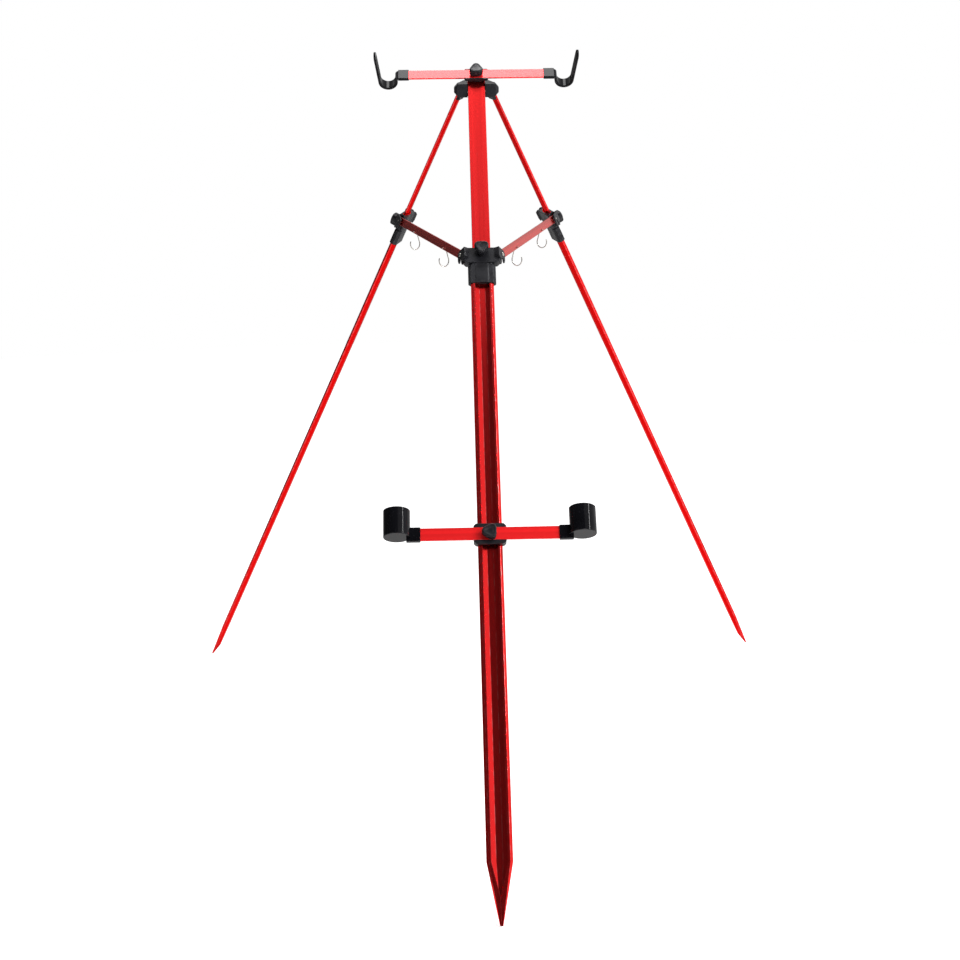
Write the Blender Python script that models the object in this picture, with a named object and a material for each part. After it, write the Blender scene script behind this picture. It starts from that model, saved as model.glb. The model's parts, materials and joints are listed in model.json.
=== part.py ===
"""Surf rod tripod: a leaning three-legged stand of red anodised channel with black moulded fittings.

A moulded hub carries three folding legs. Each leg is a flat upper tube that slides inside a lipped lower
channel, whose foot is folded to a spear point. Two flat stretchers tie the front leg to the rear legs and
carry wire hooks. The front leg holds two crossbars: the upper one has two rod hooks, and the lower one,
on a sliding carriage, has two butt cups.

Lengths are in metres. The three feet stand on Z = 0, +Z is up, and the front leg points to -Y.
A leg's own frame has its origin on the hinge pin, +Z up the leg, +X across it and -Y out of its open face.
"""

import math

import bmesh
import bpy
from mathutils import Matrix, Vector

# Stance, in the frame of the hub
FRONT_TILT = math.radians(45.5)
REAR_TILT = math.radians(25.5)
REAR_SWEEP = math.radians(16.5)
FRONT_PIVOT_RADIUS = 0.022
REAR_PIVOT_RADIUS = 0.019
FRONT_LENGTH = 1.500
REAR_LENGTH = 1.418

# Upper leg: a flat tube with a shallow keel on its back
UPPER_WIDTH = 0.0320
UPPER_DEPTH = 0.0060
UPPER_SIDE = 0.0030
UPPER_WALL = 0.0012
UPPER_EDGE = 0.0005
KEEL_FLAT = 0.0100
PIN_SETBACK = 0.0045
FRONT_HEAD = 0.0400
REAR_HEAD = 0.0070

# Lower leg: a lipped channel that the upper leg slides in
LOWER_LENGTH = 1.150
LOWER_WIDTH = 0.0400
LOWER_WALL = 0.0012
LIP_GAP = 0.0007
FLOOR_GAP = 0.0004
CORNER_WIDTH = 0.0040
CORNER_DEPTH = 0.0030
INNER_CORNER = 0.8
SLOT_WIDTH = 0.0250
OVERLAP = 0.0600

# Spear foot
SPEAR_LENGTH = 0.0920
SEAM_LENGTH = 0.0400
TIP_WIDTH = 0.0050
TIP_DEPTH = 0.0030
TIP_THINNING = 0.0300
SEAM_GAP = 0.0003
SPEAR_STEPS = 8
TIP_WALL_SHARE = 0.45

# Clearances
SEAT_GAP = 0.0003
SLIDE_GAP = 0.0004
PIN_GAP = 0.0003
KNUCKLE_GAP = 0.0006

# Hub
HUB_TOP = 0.0145
HUB_BOTTOM = -0.0100
HUB_FRONT = -0.0330
HUB_REAR = 0.0300
WING_HALF = 0.0415
WING_BACK = -0.0150
HUB_SHOULDER = (0.0330, -0.0065)
HUB_TAIL_HALF = 0.0240
HUB_CORNER = 0.0050
HUB_EDGE = 0.0008
WING_TOP_CHAMFER = 0.0070
WING_BOTTOM_CHAMFER = 0.0085
DECK = 0.0025
HEAD_ROOM = 0.0030
HINGE_RADIUS = 0.0056
HINGE_FOOT = 0.0220
HINGE_HEAD = 0.0080
HINGE_WALL = 0.0019
LEG_PIN_RADIUS = 0.0025
FRONT_PIN_HALF = 0.0375
REAR_PIN_HALF = 0.0212

# Clamp on each upper leg
CLAMP_HEIGHT = 0.0300
CLAMP_HALF = 0.0345
CLAMP_FRONT = 0.0155
CLAMP_BACK = 0.0008
CLAMP_CHAMFER = 0.0070
CLAMP_CORNER = 0.0030
CLAMP_EDGE = 0.0007
BOSS_RADIUS = 0.0062
BOSS_HEIGHT = 0.0010
KEY_WIDTH = 0.0230
CLAMP_STUD_DROP = 0.0060
REAR_STUD_DROP = 0.0220

# Fork that takes a stretcher, one on each side of a clamp
FORK_X = 0.0340
FORK_Y = -0.0060
FORK_DROP = 0.0100
FORK_PLATE = 0.0024
FORK_ROOT = 0.0150
FORK_REACH = 0.0080
FORK_RISE = 0.0085
FORK_PRONG = 0.0150
FORK_SPLIT = 0.0011
FORK_NOTCH_START = 0.0002
FORK_FLARE = 0.18
FORK_CUT = 0.0020
NOTCH_STEP = 0.0006
FRONT_FORK_PLAY = 0.0004
REAR_FORK_PLAY = 0.0022
FRONT_FORK_WEB = 0.0084
REAR_FORK_WEB = 0.0122

# Sleeve below each clamp
NECK_HEIGHT = 0.0030
NECK_HALF = 0.0218
NECK_RELIEF = 0.0007
SLEEVE_HEIGHT = 0.0368
REAR_SLEEVE_HEIGHT = 0.0300
SLEEVE_HALF = 0.0243
SLEEVE_FRONT = 0.0150
SLEEVE_BACK = 0.0006
PANEL_HALF = 0.0105
PANEL_RELIEF = 0.0012
SLEEVE_BEVEL = 0.0050
SLEEVE_HEEL = 0.0050
SLEEVE_EDGE = 0.0006

# Slide shoe in the foot of each upper leg
SHOE_PLUG = 0.0140
SHOE_LENGTH = 0.0080

# Stretchers and their wire hooks
STRETCHER_WIDTH = 0.0150
STRETCHER_THICKNESS = 0.0030
STRETCHER_PIN_RADIUS = 0.0020
PIN_HEAD_RADIUS = 0.0034
PIN_HEAD_HEIGHT = 0.0012
PIN_SEAT = 0.0020
HOOK_HOLE_RADIUS = 0.0018
HOOK_PLACES = (0.26, 0.735)
HOOK_HOLE_DROP = 0.0043
WIRE_RADIUS = 0.0009
WIRE_LOOP_HALF_WIDTH = 0.0095
WIRE_LOOP_HALF_HEIGHT = 0.0108
WIRE_LOOP_DROP = 0.0220
WIRE_LOOP_SHIFT = -0.0012
WIRE_STUB = 0.0042
WIRE_SAG = 0.0001
WIRE_BEND_START = 0.0014

# Crossbars
BAR_WIDTH = 0.0215
BAR_THICKNESS = 0.0030
BAR_CORNER = 0.0005
SOCKET_EDGE = 0.0012
TOP_BAR_RISE = 0.0230
TOP_BAR_WEDGE = math.radians(10.0)
TOP_BAR_HALF = 0.1410
TOP_SLEEVE_START = 0.1248
TOP_SADDLE_HALF = 0.0220
TOP_SADDLE_LIP = 0.0024
TOP_WEDGE_THIN = 0.0010
TOP_WEDGE_HALF_HEIGHT = 0.0100
TOP_WEDGE_HALF_WIDTH = 0.0150
LOW_BAR_DROP = 0.8905
LOW_BAR_HALF = 0.1250
LOW_SLEEVE_START = 0.1120
LOW_SADDLE_HALF = 0.0265
LOW_SADDLE_LIP = 0.0065
SADDLE_FLOOR = 0.0024
SADDLE_WRAP = 0.0075
SADDLE_CORNER = 0.0040

# Rod hooks
STRAP_WIDTH = 0.0200
STRAP_THICKNESS = 0.0046
STRAP_EDGE = 0.28
STRAP_THIN = 0.55
STRAP_TIP_TURNS = (25, 45, 62, 76)
HOOK_CENTRE = 0.1633
HOOK_RADIUS = 0.0157
HOOK_BEND = 0.0040
HOOK_DEPTH = 0.0290
HOOK_ARM = 0.0777
HOOK_LEAN = math.radians(6.5)
HOOK_SLEEVE_END = 0.1445
HOOK_SLEEVE_WIDTH = 0.0236
HOOK_SLEEVE_THICKNESS = 0.0062

# Butt cups
CUP_CENTRE = 0.1500
CUP_RADIUS = 0.02175
CUP_WALL = 0.0022
CUP_FLOOR = 0.0030
CUP_FOOT_EDGE = 0.0012
CUP_RIM_EDGE = 0.0007
CUP_HEIGHT = 0.0460
CUP_OFFSET = 0.0063
CUP_DROP = 0.0065
CUP_SLEEVE_WIDTH = 0.0240
CUP_SLEEVE_THICKNESS = 0.0080

# Knobs and studs
KNOB_RADIUS = 0.0118
KNOB_LOBE = 0.13
KNOB_HEIGHT = 0.0150
KNOB_SKIRT = 0.0030
KNOB_EDGE = 0.0030
KNOB_DISH = 0.0004
KNOB_WAIST = 0.66
KNOB_SOCKET = 0.0080
STUD_RADIUS = 0.0030
NUT_RADIUS = 0.0050
NUT_HEIGHT = 0.0030
SLIDE_NUT_LENGTH = 0.0240
SLIDE_NUT_HALF = 0.0145
SLIDE_NUT_DEPTH = 0.0040
SLIDE_NUT_EDGE = 0.0008

KNOB_SIDES = 30
ROUND_SIDES = 20
PIN_SIDES = 12
BAR_ARC_STEPS = 8
CUP_SIDES = 40
STRAP_ARC_STEPS = 14
WIRE_ARC_STEPS = 18
WIRE_SIDES = 8
CUT_MARGIN = 0.010
WELD_DISTANCE = 0.00001

# Places worked out from the sizes above
UPPER_FRONT = -(PIN_SETBACK + UPPER_DEPTH)
LIP_FRONT = UPPER_FRONT - LIP_GAP - LOWER_WALL
FLOOR_INSIDE = -PIN_SETBACK + FLOOR_GAP
FLOOR_BACK = FLOOR_INSIDE + LOWER_WALL
KEEL_SLOPE = (UPPER_DEPTH - UPPER_SIDE) / (UPPER_WIDTH / 2 - KEEL_FLAT / 2)
FRONT_TOP = FRONT_LENGTH - LOWER_LENGTH
REAR_TOP = REAR_LENGTH - LOWER_LENGTH


def clear_scene():
    """Removes every object of the open scene."""
    for old in list(bpy.data.objects):
        bpy.data.objects.remove(old, do_unlink=True)


def finish(name, colour, roughness, metallic):
    """Returns a Principled BSDF material."""
    material = bpy.data.materials.new(name)
    material.use_nodes = True
    shader = material.node_tree.nodes["Principled BSDF"]
    shader.inputs["Base Color"].default_value = (*colour, 1.0)
    shader.inputs["Roughness"].default_value = roughness
    shader.inputs["Metallic"].default_value = metallic
    material.diffuse_color = (*colour, 1.0)
    return material


def link(name, data):
    """Adds an object that holds data to the scene."""
    item = bpy.data.objects.new(name, data)
    bpy.context.scene.collection.objects.link(item)
    return item


def loft(rings):
    """Returns the closed mesh that joins equal rings of points in order and caps both ends."""
    bm = bmesh.new()
    loops = [[bm.verts.new(point) for point in ring] for ring in rings]
    for one, two in zip(loops, loops[1:]):
        for i in range(len(one)):
            j = (i + 1) % len(one)
            bm.faces.new((one[i], one[j], two[j], two[i]))
    bm.faces.new(loops[0])
    bm.faces.new(loops[-1])
    bmesh.ops.recalc_face_normals(bm, faces=bm.faces)
    mesh = bpy.data.meshes.new("solid")
    bm.to_mesh(mesh)
    bm.free()
    return mesh


def prism(outline, low, high, axis="Z"):
    """Returns an outline of pairs extruded from low to high along X, Y or Z."""
    def ring(level):
        if axis == "X":
            return [(level, a, b) for a, b in outline]
        if axis == "Y":
            return [(a, level, b) for a, b in outline]
        return [(a, b, level) for a, b in outline]
    return loft([ring(low), ring(high)])


def circle(radius, sides, centre=(0.0, 0.0)):
    """Returns the corners of a regular polygon round centre."""
    turn = 2 * math.pi / sides
    return [(centre[0] + radius * math.cos(turn * i), centre[1] + radius * math.sin(turn * i))
            for i in range(sides)]


def stud_ring():
    """Returns the outline of a hole that a stud turns in."""
    return circle(STUD_RADIUS + PIN_GAP, ROUND_SIDES)


def box(low, high):
    """Returns a box from its low corner to its high corner."""
    outline = [(low[0], low[1]), (high[0], low[1]), (high[0], high[1]), (low[0], high[1])]
    return prism(outline, low[2], high[2])


def chamfered(half_width, low, high, corner):
    """Returns an upright rectangle outline with its four corners cut at 45 degrees."""
    return [(half_width - corner, low), (half_width, low + corner), (half_width, high - corner),
            (half_width - corner, high), (corner - half_width, high), (-half_width, high - corner),
            (-half_width, low + corner), (corner - half_width, low)]


def mirrored(half):
    """Returns the outline whose right half is given from the middle round to the middle."""
    return half + [(-x, y) for x, y in reversed(half)]


def evaluated(body):
    """Returns the mesh of an object after its modifiers, and removes the object."""
    depsgraph = bpy.context.evaluated_depsgraph_get()
    mesh = bpy.data.meshes.new_from_object(body.evaluated_get(depsgraph), depsgraph=depsgraph)
    bpy.data.objects.remove(body, do_unlink=True)
    bm = bmesh.new()
    bm.from_mesh(mesh)
    bmesh.ops.remove_doubles(bm, verts=bm.verts, dist=WELD_DISTANCE)
    bm.to_mesh(mesh)
    bm.free()
    return mesh


def combine(base, tools, operation="DIFFERENCE"):
    """Returns base after a Boolean with each tool in turn."""
    body = link("body", base)
    helpers = []
    for tool in tools:
        helper = link("tool", tool)
        modifier = body.modifiers.new("Boolean", "BOOLEAN")
        modifier.operation = operation
        modifier.solver = "EXACT"
        modifier.object = helper
        helpers.append(helper)
    mesh = evaluated(body)
    for helper in helpers:
        bpy.data.objects.remove(helper, do_unlink=True)
    return mesh


def softened(mesh, width, sharp_angle=math.radians(40)):
    """Returns the mesh with a narrow flat bevel on its sharp edges."""
    body = link("body", mesh)
    modifier = body.modifiers.new("Bevel", "BEVEL")
    modifier.width = width
    modifier.segments = 1
    modifier.limit_method = "ANGLE"
    modifier.angle_limit = sharp_angle
    return evaluated(body)


def moved(mesh, matrix):
    """Returns the mesh after it is turned and moved by matrix."""
    mesh.transform(matrix)
    return mesh


def anchor(name, parent, local):
    """Adds an empty that marks a joint or a seat in its parent's frame."""
    empty = link(name, None)
    empty.empty_display_size = 0.03
    empty.parent = parent
    empty.matrix_local = local
    return empty


def world_of(item):
    """Returns an object's matrix in the world from its chain of parents."""
    if item.parent is None:
        return item.matrix_basis.copy()
    return world_of(item.parent) @ item.matrix_basis


def place(name, mesh, material, parent, local=None, smooth_angle=math.radians(35)):
    """Adds a finished piece to the scene under its parent."""
    item = link(name, mesh)
    mesh.name = name
    mesh.materials.clear()
    mesh.materials.append(material)
    mesh.shade_smooth()
    mesh.set_sharp_from_angle(angle=smooth_angle)
    item.parent = parent
    item.matrix_local = local if local is not None else Matrix.Identity(4)
    return item


def leg_matrix(azimuth, pivot_radius, tilt):
    """Returns a leg's frame in the frame of the hub."""
    turn = Matrix.Rotation(azimuth, 4, "Z")
    return turn @ Matrix.Translation((0, -pivot_radius, 0)) @ Matrix.Rotation(-tilt, 4, "X")


def upper_outline(grow=0.0):
    """Returns the upper leg's outer section, made larger all round by grow."""
    half = UPPER_WIDTH / 2 + grow
    front = UPPER_FRONT - grow
    back = -PIN_SETBACK + grow
    side = UPPER_FRONT + UPPER_SIDE + grow * KEEL_SLOPE
    return mirrored([(half - UPPER_EDGE, front), (half, front + UPPER_EDGE), (half, side),
                     (KEEL_FLAT / 2, back)])


def upper_leg(head, foot):
    """Returns the flat tube from head above the pin to foot below it."""
    bore = upper_outline(-UPPER_WALL)
    tube = prism(upper_outline(), -foot, head)
    return combine(tube, [prism(bore, -foot - CUT_MARGIN, head + CUT_MARGIN)])


def lower_outline(grow=0.0):
    """Returns the lower leg's outside without its slot, made larger all round by grow."""
    half = LOWER_WIDTH / 2 + grow
    front = LIP_FRONT - grow
    back = FLOOR_BACK + grow
    side = back - (half - KEEL_FLAT / 2) * KEEL_SLOPE
    return mirrored([(half - CORNER_WIDTH, front), (half, front + CORNER_DEPTH), (half, side),
                     (KEEL_FLAT / 2, back)])


def channel_ring(level, half, slot_half, depth_share):
    """Returns the lower leg's section, as a ring, for a half width, a slot and a share of the depth."""
    scale = half / (LOWER_WIDTH / 2)
    wall = LOWER_WALL * max(scale, TIP_WALL_SHARE)
    corner_width = CORNER_WIDTH * scale
    corner_depth = CORNER_DEPTH * depth_share
    keel = KEEL_FLAT / 2 * scale
    depth = (FLOOR_BACK - LIP_FRONT) * depth_share
    slope = KEEL_SLOPE * depth_share / scale
    inside_half = half - wall
    outer = [(slot_half, 0.0), (half - corner_width, 0.0), (half, corner_depth),
             (half, depth - (half - keel) * slope), (keel, depth)]
    inner = [(slot_half, wall), (half - corner_width - wall / 3, wall),
             (inside_half, wall + corner_depth * INNER_CORNER),
             (inside_half, depth - wall - (inside_half - keel) * slope), (keel, depth - wall)]
    left_outer = [(-x, y) for x, y in reversed(outer)]
    left_inner = [(-x, y) for x, y in inner]
    ring = outer + left_outer + left_inner + list(reversed(inner))
    return [(x, LIP_FRONT + y, level) for x, y in ring]


def lower_leg():
    """Returns the lipped channel, drawn in and thinned to a spear point, with its top end at Z = 0."""
    shoulder = LOWER_LENGTH - SPEAR_LENGTH
    seam = LOWER_LENGTH - SEAM_LENGTH
    thinning = LOWER_LENGTH - TIP_THINNING
    full_depth = FLOOR_BACK - LIP_FRONT
    stations = {0.0, shoulder, seam, thinning, LOWER_LENGTH}
    for i in range(1, SPEAR_STEPS):
        stations.add(shoulder + SPEAR_LENGTH * i / SPEAR_STEPS)
    rings = []
    for station in sorted(stations):
        taper = max(0.0, (station - shoulder) / SPEAR_LENGTH)
        half = LOWER_WIDTH / 2 + (TIP_WIDTH - LOWER_WIDTH) / 2 * taper
        closing = min(1.0, max(0.0, (station - shoulder) / (seam - shoulder)))
        slot_half = SLOT_WIDTH / 2 + (SEAM_GAP - SLOT_WIDTH) / 2 * closing
        thin = max(0.0, (station - thinning) / TIP_THINNING)
        depth_share = 1 + (TIP_DEPTH / full_depth - 1) * thin
        rings.append(channel_ring(-station, half, slot_half, depth_share))
    return loft(rings)


def bore_tool(low, high):
    """Returns the cutter that lets the lower leg slide through and leaves a key for its slot."""
    outline = lower_outline(SLIDE_GAP)
    key = UPPER_FRONT - SEAT_GAP
    half = KEY_WIDTH / 2
    front = LIP_FRONT - SLIDE_GAP
    notched = [(half, front)] + outline + [(-half, front), (-half, key), (half, key)]
    return prism(notched, low, high)


def knob_ring(scale, level, phase):
    """Returns one rounded-triangle ring of a knob at a height above its seat."""
    ring = []
    for i in range(KNOB_SIDES):
        angle = 2 * math.pi * i / KNOB_SIDES
        radius = KNOB_RADIUS * scale * (1 + KNOB_LOBE * math.cos(3 * (angle - phase)))
        ring.append((radius * math.cos(angle), -level, radius * math.sin(angle)))
    return ring


def knob(phase):
    """Returns a three-lobed knob that stands out along -Y, with a blind socket for its stud."""
    top = KNOB_HEIGHT
    levels = [(KNOB_WAIST, SEAT_GAP), (KNOB_WAIST, KNOB_SKIRT * 0.6), (0.96, KNOB_SKIRT),
              (1.0, KNOB_SKIRT + KNOB_EDGE * 0.4), (1.0, top - KNOB_EDGE), (0.94, top - KNOB_EDGE / 3),
              (0.80, top), (0.62, top - KNOB_DISH)]
    solid = loft([knob_ring(scale, level, phase) for scale, level in levels])
    socket = prism(stud_ring(), -KNOB_SOCKET, CUT_MARGIN, "Y")
    return combine(solid, [socket])


def stud(inner_end):
    """Returns a round stud along Y from inner_end to the bottom of the knob's socket."""
    return prism(circle(STUD_RADIUS, ROUND_SIDES), -(KNOB_SOCKET - SEAT_GAP), inner_end, "Y")


def hub_body(legs):
    """Returns the moulded hub, cut for the three leg hinges and their pins."""
    plan = mirrored([(WING_HALF - HUB_CORNER, HUB_FRONT), (WING_HALF, HUB_FRONT + HUB_CORNER),
                     (WING_HALF, WING_BACK), HUB_SHOULDER, (HUB_TAIL_HALF, HUB_REAR - HUB_CORNER),
                     (HUB_TAIL_HALF - HUB_CORNER, HUB_REAR)])
    face = mirrored([(WING_HALF - WING_BOTTOM_CHAMFER, HUB_BOTTOM),
                     (WING_HALF, HUB_BOTTOM + WING_BOTTOM_CHAMFER),
                     (WING_HALF, HUB_TOP - WING_TOP_CHAMFER), (WING_HALF - WING_TOP_CHAMFER, HUB_TOP)])
    block = combine(prism(plan, HUB_BOTTOM, HUB_TOP),
                    [prism(face, HUB_FRONT - CUT_MARGIN, HUB_REAR + CUT_MARGIN, "Y")], "INTERSECT")
    block = softened(block, HUB_EDGE)
    half = UPPER_WIDTH / 2 + KNUCKLE_GAP
    back = HINGE_RADIUS + HINGE_WALL
    tools = []
    lean_back = leg_matrix(0.0, FRONT_PIVOT_RADIUS, FRONT_TILT)
    head_room = box((-half, -HUB_REAR * 2, HINGE_HEAD), (half, HEAD_ROOM, FRONT_HEAD * 2))
    tools.append(moved(head_room, lean_back))
    for azimuth, pivot_radius, pin_half, roof in legs:
        seat = Matrix.Rotation(azimuth, 4, "Z") @ Matrix.Translation((0, -pivot_radius, 0))
        tools.append(moved(box((-half, -HUB_REAR * 2, HUB_BOTTOM - CUT_MARGIN), (half, back, roof)), seat))
        bore = circle(LEG_PIN_RADIUS + PIN_GAP, ROUND_SIDES)
        reach = pin_half + SEAT_GAP
        tools.append(moved(prism(bore, -reach, reach, "X"), seat))
    return combine(block, tools)


def leg_hinge(head):
    """Returns the moulded knuckle that seats on the back of an upper leg and turns on the pin."""
    half = UPPER_WIDTH / 2 - SEAT_GAP
    arc = [(HINGE_RADIUS * math.cos(a), HINGE_RADIUS * math.sin(a))
           for a in (math.pi / 2 - math.pi * i / 12 for i in range(13))]
    side = UPPER_FRONT + UPPER_SIDE
    outline = [(side, head), (0.0, head)] + arc + [(-PIN_SETBACK * 0.4, -HINGE_FOOT), (side, -HINGE_FOOT)]
    block = prism(outline, -half, half, "X")
    seat = prism(upper_outline(SEAT_GAP), -HINGE_FOOT - CUT_MARGIN, head + CUT_MARGIN)
    bore = prism(circle(LEG_PIN_RADIUS + PIN_GAP, ROUND_SIDES), -half - CUT_MARGIN, half + CUT_MARGIN, "X")
    return combine(block, [seat, bore])


def round_pin(radius, half_length):
    """Returns a plain pin along X."""
    return prism(circle(radius, ROUND_SIDES), -half_length, half_length, "X")


def slide_shoe():
    """Returns the nylon shoe that plugs the upper leg's foot and runs between the lips and the floor."""
    plug = upper_outline(-UPPER_WALL - SEAT_GAP)
    half = LOWER_WIDTH / 2 - LOWER_WALL - SLIDE_GAP
    side = FLOOR_INSIDE - SLIDE_GAP - (half - KEEL_FLAT / 2) * KEEL_SLOPE
    inner_corner = LIP_FRONT + LOWER_WALL + CORNER_DEPTH * INNER_CORNER + SLIDE_GAP
    runner = mirrored([(half - CORNER_WIDTH, UPPER_FRONT), (half, inner_corner), (half, side),
                       (KEEL_FLAT / 2, FLOOR_INSIDE - SLIDE_GAP)])
    levels = [(plug, SHOE_PLUG), (plug, -SEAT_GAP), (runner, -SEAT_GAP), (runner, -SHOE_LENGTH)]
    return loft([[(x, y, level) for x, y in outline] for outline, level in levels])


def fork_frame(side, normal):
    """Returns the frame of a clamp's fork: Y along the pin, Z up the leg, X towards its open end."""
    across = Vector((normal[0], normal[1], 0)).normalized()
    up = Vector((0, 0, 1))
    out = across.cross(up).normalized()
    if out.y < 0:
        out = -out
        across = -across
    frame = Matrix((out, across, up)).transposed().to_4x4()
    return Matrix.Translation((side * FORK_X, FORK_Y, -FORK_DROP)) @ frame


def fork_lug(play):
    """Returns a fork before its slot is cut, with two prongs that point down the leg."""
    half = STRETCHER_THICKNESS / 2 + play + FORK_PLATE
    reach = FORK_REACH
    prong = FORK_PRONG
    outline = [(-FORK_ROOT, FORK_RISE), (reach * 0.4, FORK_RISE), (reach, FORK_RISE * 0.55),
               (reach, -prong * 0.6), (reach * 0.7, -prong), (reach * 0.4, -prong * 0.95),
               (FORK_SPLIT, -prong * 0.5), (-FORK_SPLIT, -prong * 0.5),
               (-reach * 0.5, -prong * 0.82), (-reach, -prong * 0.8), (-FORK_ROOT, -prong * 0.6)]
    return prism(outline, -half, half, "Y")


def leg_clamp(forks, stud_drop):
    """Returns a clamp block with its knob boss and its forks, its top at Z = 0."""
    plan = chamfered(CLAMP_HALF, -CLAMP_FRONT, CLAMP_BACK, CLAMP_CORNER)
    face = chamfered(CLAMP_HALF, -CLAMP_HEIGHT, 0.0, CLAMP_CHAMFER)
    block = combine(prism(plan, -CLAMP_HEIGHT, 0.0),
                    [prism(face, -CLAMP_FRONT - CUT_MARGIN, CLAMP_BACK + CUT_MARGIN, "Y")], "INTERSECT")
    block = softened(block, CLAMP_EDGE)
    to_stud = Matrix.Translation((0, 0, -stud_drop))
    boss_ring = circle(BOSS_RADIUS, ROUND_SIDES)
    boss = moved(prism(boss_ring, -CLAMP_FRONT - BOSS_HEIGHT, -CLAMP_FRONT + BOSS_HEIGHT, "Y"), to_stud)
    stud_hole = prism(stud_ring(), -CLAMP_FRONT - CUT_MARGIN, -PIN_SETBACK, "Y")
    lugs = []
    tools = [bore_tool(-CLAMP_HEIGHT - CUT_MARGIN, CUT_MARGIN), moved(stud_hole, to_stud)]
    for side, normal, play, web, pinned in forks:
        frame = fork_frame(side, normal)
        lugs.append(moved(fork_lug(play), frame))
        slot_half = STRETCHER_THICKNESS / 2 + play
        slot = box((-web, -slot_half, -CLAMP_HEIGHT * 2), (CLAMP_HALF, slot_half, CLAMP_HEIGHT * 2))
        tools.append(moved(slot, frame))
        pin_hole = STRETCHER_PIN_RADIUS + PIN_GAP
        through = slot_half + FORK_PLATE + FORK_CUT
        outer = 1 if (frame.to_3x3() @ Vector((0, 1, 0))).x * side > 0 else -1
        blind = slot_half + PIN_SEAT + SEAT_GAP
        ends = sorted((outer * through, -outer * blind)) if pinned else (-through, through)
        tools.append(moved(prism(circle(pin_hole, PIN_SIDES), *ends, "Y"), frame))
        if not pinned:
            notch_half = STRETCHER_PIN_RADIUS + PIN_GAP * 0.75
            reach = through + NOTCH_STEP
            depth = CLAMP_HEIGHT
            notch = [(notch_half, -FORK_NOTCH_START), (-notch_half, -FORK_NOTCH_START),
                     (-notch_half - depth * FORK_FLARE, -depth), (notch_half, -depth)]
            tools.append(moved(prism(notch, -reach, reach, "Y"), frame))
    block = combine(block, [boss] + lugs, "UNION")
    return combine(block, tools)


def sleeve_ring(half, front, back, panel, level):
    """Returns one ring of a sleeve with a raised front panel."""
    step = PANEL_RELIEF if panel else PANEL_RELIEF * 0.5
    ring = mirrored([(PANEL_HALF, -front), (PANEL_HALF + step, -front + step),
                     (half - SLEEVE_BEVEL, -front + step), (half, -front + step + SLEEVE_BEVEL),
                     (half, back - SLEEVE_HEEL), (half - SLEEVE_HEEL, back)])
    return [(x, y, level) for x, y in ring]


def leg_sleeve(height):
    """Returns the neck and sleeve below a clamp, with the top of the neck at Z = 0."""
    waist = -NECK_HEIGHT
    foot = waist - height
    neck_front = SLEEVE_FRONT - NECK_RELIEF
    edge = SLEEVE_EDGE
    rings = [sleeve_ring(NECK_HALF, neck_front, SLEEVE_BACK, False, 0.0),
             sleeve_ring(NECK_HALF, neck_front, SLEEVE_BACK, False, waist),
             sleeve_ring(SLEEVE_HALF - edge, SLEEVE_FRONT - edge, SLEEVE_BACK, True, waist - edge * 0.3),
             sleeve_ring(SLEEVE_HALF, SLEEVE_FRONT, SLEEVE_BACK, True, waist - edge),
             sleeve_ring(SLEEVE_HALF, SLEEVE_FRONT, SLEEVE_BACK, True, foot + edge),
             sleeve_ring(SLEEVE_HALF - edge, SLEEVE_FRONT - edge, SLEEVE_BACK, True, foot)]
    return combine(loft(rings), [bore_tool(foot - CUT_MARGIN, CUT_MARGIN)])


def stadium(length, width):
    """Returns a flat bar's outline with round ends about (0, 0) and (length, 0)."""
    radius = width / 2
    points = []
    for centre, start in ((length, -math.pi / 2), (0.0, math.pi / 2)):
        for i in range(BAR_ARC_STEPS + 1):
            angle = start + math.pi * i / BAR_ARC_STEPS
            points.append((centre + radius * math.cos(angle), radius * math.sin(angle)))
    return points


def stretcher(length):
    """Returns a flat stretcher along X, its plate square to Z, with pin and hook holes."""
    half = STRETCHER_THICKNESS / 2
    plate = prism(stadium(length, STRETCHER_WIDTH), -half, half)
    pin_hole = STRETCHER_PIN_RADIUS + PIN_GAP
    holes = [(0.0, 0.0, pin_hole), (length, 0.0, pin_hole)]
    holes += [(length * share, HOOK_HOLE_DROP, HOOK_HOLE_RADIUS) for share in HOOK_PLACES]
    tools = [prism(circle(radius, PIN_SIDES, (x, y)), -CUT_MARGIN, CUT_MARGIN) for x, y, radius in holes]
    return combine(plate, tools)


def headed_pin(inner_end, outer_face, outer):
    """Returns a pin along Z with a shallow head on its outer side, which is +Z or -Z."""
    shank = STRETCHER_PIN_RADIUS / PIN_HEAD_RADIUS
    seat = outer_face + SEAT_GAP
    levels = [(shank, -inner_end), (shank, seat), (1.0, seat), (1.0, seat + PIN_HEAD_HEIGHT * 0.5),
              (0.6, seat + PIN_HEAD_HEIGHT)]
    return loft([[(x, y, level * outer) for x, y in circle(PIN_HEAD_RADIUS * scale, PIN_SIDES)]
                 for scale, level in levels])


def sweep(path, sections):
    """Returns a solid swept along a path of (x, z) points, one (across, deep) section for each point."""
    rings = []
    last = len(path) - 1
    for i, (point, section) in enumerate(zip(path, sections)):
        before = Vector(path[max(i - 1, 0)])
        after = Vector(path[min(i + 1, last)])
        here = Vector(point)
        into = (here - before).normalized() if i else (after - here).normalized()
        out = (after - here).normalized() if i < last else into
        tangent = (into + out).normalized()
        mitre = 1 / max(0.5, tangent.dot(into))
        normal = Vector((tangent.y, -tangent.x))
        rings.append([(point[0] + normal.x * a * mitre, b, point[1] + normal.y * a * mitre)
                      for a, b in section])
    return loft(rings)


def arc(centre, radius, start, end, steps):
    """Returns points on a circle from the start angle to the end angle, in degrees."""
    return [(centre[0] + radius * math.cos(math.radians(start + (end - start) * i / steps)),
             centre[1] + radius * math.sin(math.radians(start + (end - start) * i / steps)))
            for i in range(steps + 1)]


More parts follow.
